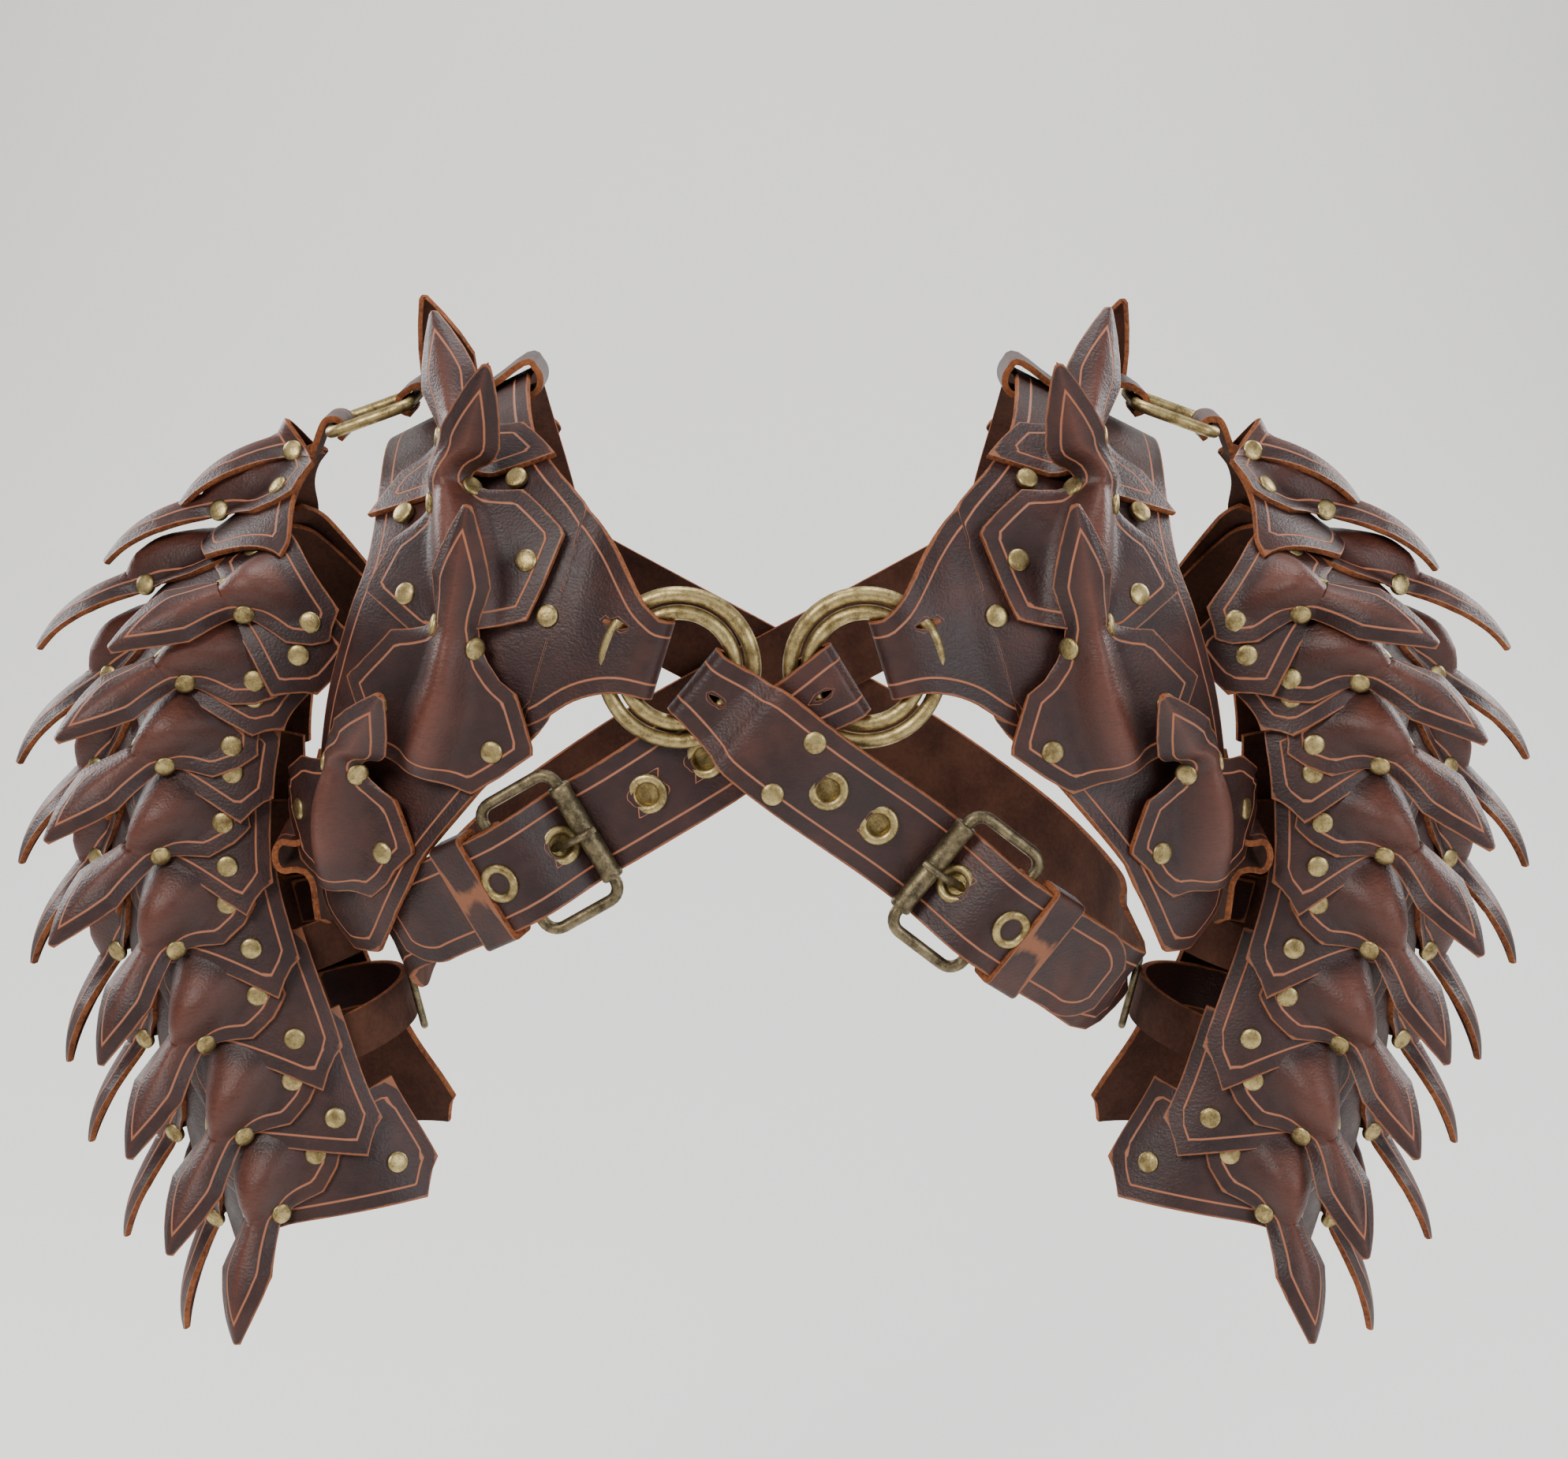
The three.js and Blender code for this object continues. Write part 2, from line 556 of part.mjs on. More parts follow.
  const bend = buckle.wire + gap + leather / 2;
  const turns = [225, 180, 135].map((t) => [
    heel + bend * Math.cos(rad(t)), buckle.plane + bend * Math.sin(rad(t)), strapWidth / 2,
  ]);
  const start = laid([
    [heel + 3.5, buckle.plane - bend], [heel, buckle.plane - bend], ...turns,
    [heel, topOfLoop],
  ]);
  start.push(...spread([[floorAt], [tailEnd + 6]], strapRest));
  const goesOver = side > 0;
  const path = sideRoute.map(({ x, y, z }) => {
    const outside = goesOver && y > backCrossing.from ? backCrossing.step : 0;
    return point(x, y + outside, z);
  });
  const curve = new THREE.CatmullRomCurve3([start[start.length - 1].at, ...path]);
  const round = curve.getSpacedPoints(13).slice(1).map((at, i, list) => {
    const before = list[Math.max(i - 1, 0)];
    const after = list[Math.min(i + 1, list.length - 1)];
    const out = point(at.x / backOval.x ** 2, at.y / backOval.y ** 2, 0);
    return { at, side: after.clone().sub(before).cross(out).normalize(), half: strapWidth / 2 };
  });
  if (round[0].side.dot(v) < 0) round.forEach((each) => each.side.negate());
  put("side_strap", strap([...start, ...round]), finishes.leather);
}

// The geometry with its shared corners merged
function solidGeometry(geometry) {
  return geometryOf(solidOf(geometry));
}

// Rectangular leather loop round the straps
function keeperLoop(centre, run, v, up, { half, rise }) {
  const corners = [];
  for (const end of [-keeper.length / 2, keeper.length / 2]) {
    for (const grow of [0, leather]) {
      for (const [s, t] of [[-1, -1], [1, -1], [1, 1], [-1, 1]]) {
        const spot = along(along(centre, run, end), v, s * (half + grow));
        corners.push(along(spot, up, t * (rise + grow)));
      }
    }
  }
  const loops = [0, 4, 12, 8];
  const numberAt = (i, j) => loops[i % 4] + (j % 4);
  return closedMesh(corners, cells(numberAt, 5, 5));
}

// Scale on the chest panel
function chestScale({ x, z, heading, lift, turn: sway, seat, cut, back }) {
  const drop = dropOf(x, z);
  const turn = back ? -1 : 1;
  const step = 0.5;
  const xScale = bodySurface(x + step, drop).distanceTo(bodySurface(x - step, drop));
  const slope = step / dropLength;
  const downStep = bodySurface(x, drop + slope).distanceTo(bodySurface(x, drop - slope));
  const downScale = downStep / (2 * slope);
  const [cos, sin] = [Math.cos(rad(heading)), Math.sin(rad(heading))];
  const place = (a, b, h) => {
    const upward = a * cos - b * sin;
    const outward = a * sin + b * cos;
    const height = panelFace + scaleSeat + leather + seat + h;
    return bodyPoint(x + outward / xScale, turn * (drop - upward / downScale), height);
  };
  return scaleSheet(place, lift, cut, sway);
}

function underarmScale() {
  const backward = point(0, Math.cos(rad(sideScale.rise)), Math.sin(rad(sideScale.rise)));
  const outward = point(1, 0, 0);
  const across = outward.clone().cross(backward);
  const root = point(sideScale.x, sideScale.y, sideScale.z);
  const place = (a, b, h) => {
    const spot = along(along(root, backward, a), across, b);
    return along(spot, outward, h - (b * b) / (2 * sideScale.round));
  };
  return scaleSheet(place, sideScale.lift);
}

// Shoulder strap round the panel's top, and the buckle that carries the arm guard
function shoulderFittings() {
  const slope = rad(shoulderBuckle.slope);
  const u = point(Math.cos(slope), 0, -Math.sin(slope));
  const v = point(0, 1, 0);
  const corner = point(shoulderBuckle.x, 0, shoulderBuckle.z);
  addPair("shoulder_buckle", wireFrame(corner, u, v, shoulderBuckle), finishes.brass);
  const bend = shoulderBuckle.wire + 2 * gap + leather / 2;
  const above = panelFace + gap + leather / 2;
  const { loopX, bend: loop, endX, under } = shoulderStrap;
  const below = -leather / 2 - gap - under;
  const rise = (x, h) => point(x, 0, ridgeHeight(x) + h);
  const middle = ridgeHeight(loopX) + 1;
  const path = [rise(endX, below), rise(mix(loopX, endX, 0.5), below)];
  for (const t of [-90, -138, -180, -222, -270]) {
    path.push(point(loopX + loop * Math.cos(rad(t)), 0, middle - loop * Math.sin(rad(-t))));
  }
  path.push(rise(mix(loopX, endX, 0.5), above));
  const n = point(Math.sin(slope), 0, Math.cos(slope));
  path.push(along(along(corner, n, bend), u, -8));
  for (const t of [90, 35, -20, -75]) {
    path.push(along(along(corner, n, bend * Math.sin(rad(t))), u, bend * Math.cos(rad(t))));
  }
  const sections = path.map((at) => ({ at, side: v, half: shoulderStrap.half }));
  addPair("shoulder_strap", strap(sections), finishes.leather);
  return { bar: along(corner, u, shoulderBuckle.length), u, n, bend };
}

// Arm surface: row along the arm, angle round it from the outermost line, height off the surface
function armAt(row) {
  const index = Math.min(Math.max(Math.floor(row) - 1, 0), armRows.length - 2);
  const share = row - 1 - index;
  const value = (column) => mix(armRows[index][column], armRows[index + 1][column], share);
  return { out: value("out"), up: value("up"), tilt: rad(value("tilt")), rise: value("rise") };
}
function armPoint(row, angle, height) {
  const reach = Math.min(Math.abs(angle) / skewReach, 1);
  const skew = (armAt(row).rise / armPitch) * reach * reach * (3 - 2 * reach);
  const { out, up, tilt } = armAt(row - skew);
  const radial = point(Math.cos(tilt), 0, Math.sin(tilt));
  const centre = along(point(out, 0, up), radial, -armRadius);
  const turn = rad(angle);
  const reachOut = along(centre, radial, (armRadius + height) * Math.cos(turn));
  return reachOut.setY((armRadius + height) * Math.sin(turn));
}
function armScale(row, angle, fan, lift, stations = tuckedScale, plateRow = row) {
  const seat = leather - sink;
  const { lap } = armRows[plateRow - 1];
  const place = (a, b, h) => {
    const run = a - dieNeck;
    const down = run * Math.cos(rad(fan)) - b * Math.sin(rad(fan));
    const round = run * Math.sin(rad(fan)) + b * Math.cos(rad(fan));
    const pitch = down / armPitch;
    const turn = THREE.MathUtils.radToDeg(round / armRadius);
    return armPoint(row + pitch, angle + turn, seat + lap * (row + pitch - plateRow) + h);
  };
  return scaleSheet(place, lift, stations);
}
const bothSides = (edge) => [
  ...edge.slice(1).reverse().map(({ angle, reach }) => ({ angle: -angle, reach })),
  ...edge,
];
function armLame(row, end) {
  const { spread, lift, sideLift, fan, lap } = armRows[row - 1];
  const arch = lameEdge[lameEdge.length - 1];
  const rising = { angle: mix(arch.angle, end.angle, 0.5), reach: mix(arch.reach, end.reach, 0.3) };
  const corner = { angle: end.angle + lameCorner.angle, reach: end.reach + lameCorner.reach };
  const grid = [lameTop, lameMiddle, null].map((fixed) =>
    bothSides([...lameEdge, rising, end, corner]).map(({ angle, reach }) => {
      const pitch = fixed ?? reach;
      return armPoint(row + pitch, angle, lap * pitch);
    }),
  );
  return fused(
    wall(grid),
    armScale(row, 0, 0, lift),
    armScale(row, -spread, fan, sideLift),
    armScale(row, spread, -fan, sideLift),
  );
}
function shoulderCap({ bar, u, n, bend }) {
  const { lap } = armRows[capPlateRow - 1];
  const grid = capRows.map(({ row, half }) =>
    bothSides(capEdge).map(({ angle, reach }) => {
      const turn = (angle / capEdge[capEdge.length - 1].angle) * half;
      const pitch = row === capRows[capRows.length - 1].row ? capPlateRow + reach - row : 0;
      return armPoint(row + pitch, turn, lap * (row + pitch - capPlateRow));
    }),
  );
  const top = armPoint(capRows[0].row, 0, lap * (capRows[0].row - capPlateRow) - leather / 2);
  const side = point(0, 1, 0);
  const tongue = [-75, -20, 35, 90, 140].map((t) =>
    along(along(bar, n, bend * Math.sin(rad(t))), u, -bend * Math.cos(rad(t))),
  );
  const under = capRows[0].row + 0.12;
  tongue.push(top, armPoint(under, 0, lap * (under - capPlateRow) - leather / 2));
  const sections = tongue.map((at) => ({ at, side, half: capTongue }));
  return fused(
    wall(grid), strap(sections),
    armScale(1, 0, 0, armRows[0].lift, spikeOnly, capPlateRow),
    armScale(capPlateRow, 0, 0, armRows[1].lift),
  );
}

function armStrap({ name, row, half, inset }) {
  const sections = [];
  for (let i = 0; i <= armStrapSteps; i++) {
    const angle = mix(armStrapStart, 360 - armStrapStart, i / armStrapSteps);
    const at = armPoint(row, angle, -inset);
    const next = armPoint(row + 0.2, angle, -inset);
    sections.push({ at, side: next.sub(at).normalize(), half });
  }
  addPair("arm_strap_" + name, strap(sections), finishes.leather);
}

function armStrapBuckle({ row, half, inset }) {
  const { angle, room, length, wire, corner, lift } = armBuckle;
  const at = armPoint(row, angle, lift - inset);
  const run = armPoint(row, angle + 4, lift - inset).sub(at).normalize();
  const side = armPoint(row + 0.2, angle, lift - inset).sub(at).normalize();
  const across = side.addScaledVector(run, -side.dot(run)).normalize();
  return wireFrame(at, run, across, { length, half: half + wire + room, corner, wire });
}

addPair("chest_panel", chestPanel(), finishes.leather);
for (const [size, radius] of Object.entries(ringRadii)) {
  const ring = new THREE.TorusGeometry(radius, ringWire, 6, 14).rotateX(Math.PI / 2);
  addPair("ring_" + size, solidGeometry(ring.translate(ringX, ringY, ringZ)), finishes.brass);
}
crossStraps.forEach(crossStrap);

for (const scale of chestScales) {
  addPair(scale.name, chestScale(scale), finishes.leather);
}

addPair("chest_scale_5", underarmScale(), finishes.leather);

const shoulder = shoulderFittings();
addPair("shoulder_cap", shoulderCap(shoulder), finishes.leather);
lamePoints.forEach((end, i) => {
  addPair("arm_lame_" + (i + 1), armLame(firstLameRow + i, end), finishes.leather);
});
armStraps.forEach(armStrap);
addPair("arm_strap_buckle", armStrapBuckle(armStraps[1]), finishes.darkBrass);

export default part;
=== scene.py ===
import bisect
import math

import bmesh
import bpy
import numpy as np
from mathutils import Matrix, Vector, kdtree


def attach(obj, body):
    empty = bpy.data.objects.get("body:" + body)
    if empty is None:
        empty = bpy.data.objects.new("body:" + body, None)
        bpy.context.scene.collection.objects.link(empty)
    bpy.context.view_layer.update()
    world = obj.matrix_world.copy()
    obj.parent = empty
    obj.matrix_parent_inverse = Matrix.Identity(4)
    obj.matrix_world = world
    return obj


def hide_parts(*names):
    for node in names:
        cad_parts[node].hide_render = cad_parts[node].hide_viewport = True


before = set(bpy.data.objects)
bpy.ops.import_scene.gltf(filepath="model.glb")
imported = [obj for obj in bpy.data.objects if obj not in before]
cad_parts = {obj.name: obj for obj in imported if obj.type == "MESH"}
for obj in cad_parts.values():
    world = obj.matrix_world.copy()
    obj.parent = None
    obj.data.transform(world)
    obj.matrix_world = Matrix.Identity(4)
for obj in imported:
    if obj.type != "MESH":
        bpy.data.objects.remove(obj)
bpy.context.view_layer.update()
print("frame loaded")

rng = np.random.default_rng(11)
mm = 0.001
frontAxis = np.array((0.0, -1.0, 0.0))


def vec(x, y, z):
    return np.array((x, y, z), float)


def unit(v):
    return v / max(np.linalg.norm(v), 1e-9)


def mix(a, b, t):
    return a + (b - a) * t


def ease(t):
    t = min(max(t, 0.0), 1.0)
    return t * t * (3 - 2 * t)


def curveAt(rows, column, at):
    # smooth curve through one column of a table whose first column rises
    xs = [row[0] for row in rows]
    ys = [row[column] for row in rows]
    i = min(max(bisect.bisect_right(xs, at) - 1, 0), len(xs) - 2)
    wide = xs[i + 1] - xs[i]
    t = min(max((at - xs[i]) / wide, 0.0), 1.0)

    def slope(k):
        a, b = max(k - 1, 0), min(k + 1, len(xs) - 1)
        return (ys[b] - ys[a]) / (xs[b] - xs[a]) * wide

    a, b = slope(i), slope(i + 1)
    rest = at - xs[i] - t * wide
    cubic = (2 * ys[i] - 2 * ys[i + 1] + a + b) * t ** 3
    square = (3 * ys[i + 1] - 3 * ys[i] - 2 * a - b) * t ** 2
    return cubic + square + a * t + ys[i] + rest * (b if t >= 1 else a) / wide


def spline(points, parts):
    # points along a smooth curve through the given ones
    rows = [np.asarray(p, float) for p in points]
    path = []
    for i in range(len(rows) - 1):
        p0, p1 = rows[max(i - 1, 0)], rows[i]
        p2, p3 = rows[i + 1], rows[min(i + 2, len(rows) - 1)]
        for k in range(parts):
            t = k / parts
            path.append(0.5 * (2 * p1 + (p2 - p0) * t + (2 * p0 - 5 * p1 + 4 * p2 - p3) * t ** 2
                               + (3 * p1 - p0 - 3 * p2 + p3) * t ** 3))
    return path + [rows[-1]]


# shader maths: sums and products of values add Math nodes
class Wire:
    def __init__(self, finish, socket):
        self.finish, self.socket = finish, socket

    def math(self, operation, *values):
        return self.finish.node("ShaderNodeMath", {"operation": operation}, dict(enumerate(values)))

    def __add__(self, other):
        return self.math("ADD", self, other)

    def __radd__(self, other):
        return self.math("ADD", other, self)

    def __sub__(self, other):
        return self.math("SUBTRACT", self, other)

    def __rsub__(self, other):
        return self.math("SUBTRACT", other, self)

    def __mul__(self, other):
        return self.math("MULTIPLY", self, other)

    def __rmul__(self, other):
        return self.math("MULTIPLY", other, self)

    def __abs__(self):
        return self.math("ABSOLUTE", self)

    def span(self, low, high, toLow=0.0, toHigh=1.0):
        values = {"Value": self, "From Min": low, "From Max": high, "To Min": toLow, "To Max": toHigh}
        return self.finish.node("ShaderNodeMapRange", {"interpolation_type": "SMOOTHSTEP"}, values)


class Finish:
    # one material with its nodes
    bumpDepth = 0.0012

    def __init__(self, name):
        self.material = bpy.data.materials.new(name)
        self.material.use_nodes = True
        self.tree = self.material.node_tree
        self.tree.nodes.clear()

    def node(self, kind, settings=None, values=None, out=0):
        made = self.tree.nodes.new(kind)
        for key, value in (settings or {}).items():
            setattr(made, key, value)
        for key, value in (values or {}).items():
            if isinstance(value, Wire):
                self.tree.links.new(value.socket, made.inputs[key])
            else:
                made.inputs[key].default_value = value
        return Wire(self, made.outputs[out]) if made.outputs else None

    def spot(self):
        return self.node("ShaderNodeTexCoord", out=3)  # the piece's own coordinates

    def painted(self, name):
        return self.node("ShaderNodeAttribute", {"attribute_name": name}, out=2)

    def noise(self, spot, scale, detail=3.0, rough=0.55):
        return self.node("ShaderNodeTexNoise", {},
                         {"Vector": spot, "Scale": scale, "Detail": detail, "Roughness": rough})

    def blend(self, share, low, high):
        return self.node("ShaderNodeMix", {"data_type": "RGBA"}, {0: share, 6: low, 7: high}, out=2)

    def bump(self, height, amount):
        return self.node("ShaderNodeBump", {},
                         {"Strength": amount, "Distance": self.bumpDepth, "Height": height})

    def shade(self, values):
        shader = self.node("ShaderNodeBsdfPrincipled", {}, values)
        self.node("ShaderNodeOutputMaterial", {}, {"Surface": shader})
        return self.material


leatherLook = {
    "dark": (0.0160, 0.0050, 0.0042, 1), "middle": (0.037, 0.0112, 0.0085, 1),
    "ruddy": (0.128, 0.037, 0.021, 1), "line": (0.34, 0.120, 0.058, 1),
    "fuzz": (0.230, 0.078, 0.030, 1), "lineAt": 6.0, "lineHalf": 0.46, "worn": 0.22,
    "clouds": 34, "mottle": 160, "creases": 330, "creaseRun": (1, 1, 3.2), "pores": 900,
    "bump": 0.42, "gloss": 0.42,
}


def grainLeather(name, look):
    finish = Finish(name)
    spot = finish.spot()
    # the second attribute is a mask for the painted highlight along fold crests
    rim, crestHighlight = finish.painted("rim"), finish.painted("crestHighlight")
    clouds = finish.noise(spot, look["clouds"], 4.0)
    mottle = finish.noise(spot, look["mottle"])
    drawn = finish.node("ShaderNodeMapping", {}, {"Vector": spot, "Scale": look["creaseRun"]})
    creases = finish.noise(drawn, look["creases"], 4.0, 0.6)
    pores = finish.node("ShaderNodeTexVoronoi", {}, {"Vector": spot, "Scale": look["pores"]})
    tone = (clouds * 0.75 + mottle * 0.45).span(0.35, 0.85)
    colour = finish.blend(tone, look["dark"], look["middle"])
    # the crest of a fold gets a painted highlight in the ruddy colour, mixed with random patches of real wear
    highlightAndWear = (crestHighlight * 0.8 + clouds.span(0.5, 0.8) * look["worn"]) * creases.span(0.25, 0.6, 0.55, 1.0)
    colour = finish.blend(highlightAndWear, colour, look["ruddy"])
    fray = rim + (mottle - 0.5) * 1.2
    colour = finish.blend(fray.span(0.25, 0.9, 0.9, 0.0), colour, look["fuzz"])
    offset = abs(rim - look["lineAt"])
    score = offset.span(look["lineHalf"] * 0.55, look["lineHalf"] * 1.3, 1.0, 0.0)
    colour = finish.blend(score * creases.span(0.15, 0.4, 0.6, 0.95), colour, look["line"])
    height = creases * 0.34 + pores * 0.22 + mottle * 0.3 - score * 0.9
    rough = mottle * 0.2 + creases * 0.14 + 0.31 + score * 0.2
    return finish.shade({"Base Color": colour, "Roughness": rough, "Specular IOR Level": look["gloss"],
                         "Normal": finish.bump(height, look["bump"])})


edgeLook = {"deep": (0.085, 0.023, 0.011, 1), "pale": (0.330, 0.112, 0.042, 1),
            "fuzz": 620, "patch": 90, "bump": 0.85, "gloss": 0.2}


def cutEdge(name, look):
    finish = Finish(name)
    spot = finish.spot()
    fuzz = finish.noise(spot, look["fuzz"], 5.0, 0.7)
    patch = finish.noise(spot, look["patch"], 2.0)
    colour = finish.blend((fuzz * 0.7 + patch * 0.5).span(0.35, 0.8), look["deep"], look["pale"])
    return finish.shade({"Base Color": colour, "Roughness": 0.86 + patch * 0.1,
                         "Specular IOR Level": look["gloss"],
                         "Normal": finish.bump(fuzz * 1.2 + patch * 0.2, look["bump"])})


suedeLook = {"deep": (0.034, 0.0130, 0.0088, 1), "pale": (0.086, 0.035, 0.021, 1),
             "nap": 520, "patch": 45, "bump": 0.5, "gloss": 0.15}


def suede(name, look):
    finish = Finish(name)
    spot = finish.spot()
    nap = finish.noise(spot, look["nap"], 5.0, 0.7)
    patch = finish.noise(spot, look["patch"])
    colour = finish.blend((nap * 0.5 + patch * 0.7).span(0.35, 0.85), look["deep"], look["pale"])
    return finish.shade({"Base Color": colour, "Roughness": 0.9 + patch * 0.05,
                         "Specular IOR Level": look["gloss"],
                         "Normal": finish.bump(nap, look["bump"])})


brassLook = {"deep": (0.150, 0.105, 0.042, 1), "bright": (0.520, 0.405, 0.185, 1), "rough": 0.46,
             "patina": 210, "speck": 1300, "bump": 0.22}
blackenedLook = {**brassLook, "deep": (0.060, 0.048, 0.030, 1), "bright": (0.250, 0.200, 0.115, 1),
                 "rough": 0.50}


def agedMetal(name, look):
    finish = Finish(name)
    spot = finish.spot()
    patina = finish.noise(spot, look["patina"], 4.0, 0.6)
    speck = finish.noise(spot, look["speck"], 3.0, 0.65)
    worn = (patina * 0.8 + speck * 0.4).span(0.38, 0.8)
    colour = finish.blend(worn, look["deep"], look["bright"])
    rough = look["rough"] - worn * 0.16 + speck * 0.12
    return finish.shade({"Base Color": colour, "Metallic": 1.0, "Roughness": rough,
                         "Normal": finish.bump(speck * 0.5 + patina * 0.25, look["bump"])})


rawEdge, fleshSide = cutEdge("cut edge", edgeLook), suede("flesh side", suedeLook)
plateLeather = grainLeather("plate leather", leatherLook)
strapLeather = grainLeather("strap leather", {**leatherLook, "lineAt": 6.6, "worn": 0.34})
# the record's slot, and the finishes of the grain side, the cut edge and the flesh side
plateWork = {"slot": "plate_leather", "finishes": [plateLeather, rawEdge, fleshSide]}
strapWork = {"slot": "strap_leather", "finishes": [strapLeather, rawEdge, fleshSide]}
brassWork = {"slot": "brass", "finishes": [agedMetal("aged brass", brassLook)]}
blackenedWork = {"slot": "dark_brass", "finishes": [agedMetal("blackened brass", blackenedLook)]}
print("materials made")


# meshes
def fullTurn(sides):
    return [2 * math.pi * k / sides for k in range(sides)]


def turns(*degrees):
    return [math.radians(t) for t in degrees]


class Piece:
    # sheets and turned parts that become one object
    def __init__(self):
        self.verts, self.faces, self.kinds = [], [], []
        self.rim, self.crestHighlight = [], []

    def take(self, points, faces, kinds, rim, crestHighlight):
        base = len(self.verts)
        self.verts.extend(points)
        self.faces.extend(tuple(base + k for k in face) for face in faces)
        self.kinds.extend(kinds)
        self.rim.extend(rim)
        self.crestHighlight.extend(crestHighlight)

    def sheet(self, grid, facing, thick, crestHighlight=None, joined=None, scored=True):
        # the grid is the grain face, and facing says which way it looks
        grid = np.asarray(grid, float)
        rows, columns = grid.shape[:2]
        normals = np.cross(np.gradient(grid, axis=0), np.gradient(grid, axis=1))
        normals /= np.maximum(np.linalg.norm(normals, axis=2, keepdims=True), 1e-9)
        if np.sum(normals * facing) < 0:
            grid, normals = grid[:, ::-1], -normals[:, ::-1]
            crestHighlight = None if crestHighlight is None else np.asarray(crestHighlight)[:, ::-1]
            flat = joined
            joined = None if flat is None else (lambda i, j: flat(i, columns - 1 - j))
        inner = grid - normals * thick
        loop = [(0, j) for j in range(columns - 1)] + [(i, columns - 1) for i in range(rows - 1)]
        loop += [(rows - 1, j) for j in range(columns - 1, 0, -1)] + [(i, 0) for i in range(rows - 1, 0, -1)]
        tree = kdtree.KDTree(len(loop) * 4)
        for k, (i, j) in enumerate(loop):
            m, n = loop[(k + 1) % len(loop)]
            for part in range(4):
                away = 1e4 if joined and joined(i, j) and joined(m, n) else 0
                tree.insert(Vector(mix(grid[i, j], grid[m, n], part / 4) + away), k)
        tree.balance()
        count = rows * columns
        farthest = 100.0 if scored else 4.0
        distance = [min(tree.find(Vector(p))[2], farthest) for p in grid.reshape(-1, 3)]
        middle = []
        for i, j in loop:
            inside = grid[min(max(i, 1), rows - 2), min(max(j, 1), columns - 2)]
            middle.append((grid[i, j] + inner[i, j]) / 2 + unit(grid[i, j] - inside) * 0.14 * thick)
        faces, kinds = [], []
        for i in range(rows - 1):
            for j in range(columns - 1):
                a, b = i * columns + j, (i + 1) * columns + j
                faces.append((a, b, b + 1, a + 1))
                kinds.append(0)
                faces.append((count + a, count + a + 1, count + b + 1, count + b))
                kinds.append(2)
        for k, (i, j) in enumerate(loop):
            m, n = loop[(k + 1) % len(loop)]
            now, then = i * columns + j, m * columns + n
            mid, midThen = 2 * count + k, 2 * count + (k + 1) % len(loop)
            faces.append((now, then, midThen, mid))
            faces.append((mid, midThen, count + then, count + now))
            kinds += [1, 1]
        warm = np.zeros(count) if crestHighlight is None else np.asarray(crestHighlight, float).reshape(-1)
        self.take(list(grid.reshape(-1, 3)) + list(inner.reshape(-1, 3)) + middle, faces, kinds,
                  distance + [0.0] * (count + len(loop)), list(warm) + [0.0] * (count + len(loop)))

    def tube(self, rings, closed=False):
        # rings of points joined in a row, capped unless closed
        size = len(rings[0])
        points = [p for ring in rings for p in ring]
        faces = []
        last = len(rings) if closed else len(rings) - 1
        for i in range(last):
            a, b = i * size, ((i + 1) % len(rings)) * size
            for j in range(size):
                k = (j + 1) % size
                faces.append((a + j, a + k, b + k, b + j))
        if not closed:
            faces.append(tuple(range(size))[::-1])
            faces.append(tuple((len(rings) - 1) * size + j for j in range(size)))
        self.take(points, faces, [0] * len(faces), [50.0] * len(points), [0.0] * len(points))

    def turned(self, at, axis, profile, sides=24):
        # profile of (radius, height) turned about an axis
        axis = unit(axis)
        first = unit(np.cross(axis, (0.31, 0.62, 0.72)))
        second = np.cross(axis, first)
        spokes = [first * math.cos(t) + second * math.sin(t) for t in fullTurn(sides)]
        self.tube([[at + axis * height + radius * spoke for spoke in spokes] for radius, height in profile])

    def build(self, name, hand, work, node=None):
        # replaces the solid of its own name, or the node given, on the wearer's left for hand 1
        node = name if node is None else node
        title = name.replace(" ", "-") + ("-left" if hand > 0 else "-right")
        mesh = bpy.data.meshes.new(title)
        flip = np.array((hand * mm, mm, mm))
        mesh.from_pydata([tuple(np.asarray(p) * flip) for p in self.verts], [],
                         [face[::-1] if hand < 0 else face for face in self.faces])
        for material in work["finishes"]:
            mesh.materials.append(material)
        for key, values in (("rim", self.rim), ("crestHighlight", self.crestHighlight)):
            mesh.attributes.new(key, "FLOAT", "POINT").data.foreach_set("value", values)
        mesh.polygons.foreach_set("material_index", self.kinds)
        shape = bmesh.new()
        shape.from_mesh(mesh)
        bmesh.ops.recalc_face_normals(shape, faces=shape.faces)
        for face in shape.faces:
            face.smooth = True
        for edge in shape.edges:
            pair = edge.link_faces
            if len(pair) == 2 and (pair[0].material_index != pair[1].material_index
                                   or pair[0].normal.dot(pair[1].normal) < 0.45):
                edge.smooth = False
        shape.to_mesh(mesh)
        shape.free()
        made = bpy.data.objects.new(title, mesh)
        bpy.context.scene.collection.objects.link(made)
        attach(made, "root")
        if node:
            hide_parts(node.replace(" ", "_") + ("_l" if hand > 0 else "_r"))
        return made


def wireRings(path, radius, up, sides=14, closed=True):
    # circles square to a path; up is never along it
    count = len(path)
    rings = []
    for i in range(count):
        before = path[i - 1] if closed or i else path[0]
        after = path[(i + 1) % count] if closed or i + 1 < count else path[-1]
        run = unit(after - before)
        first = unit(up - run * np.dot(up, run))
        second = np.cross(run, first)
        size = radius[i] if isinstance(radius, list) else radius
        rings.append([path[i] + size * (first * math.cos(t) + second * math.sin(t)) for t in fullTurn(sides)])
    return rings


def framePath(centre, u, v, size, steps=7):
    # rounded rectangle in the plane of u and v
    length, half, corner = size["length"], size["half"], size["corner"]
    path = []
    for a, b, start in ((corner, half - corner, 180), (length - corner, half - corner, 90),
                        (length - corner, corner - half, 0), (corner, corner - half, -90)):
        for k in range(steps):
            t = math.radians(start - 90 * k / (steps - 1))
            path.append(centre + u * (a + corner * math.cos(t)) + v * (b + corner * math.sin(t)))
    return path


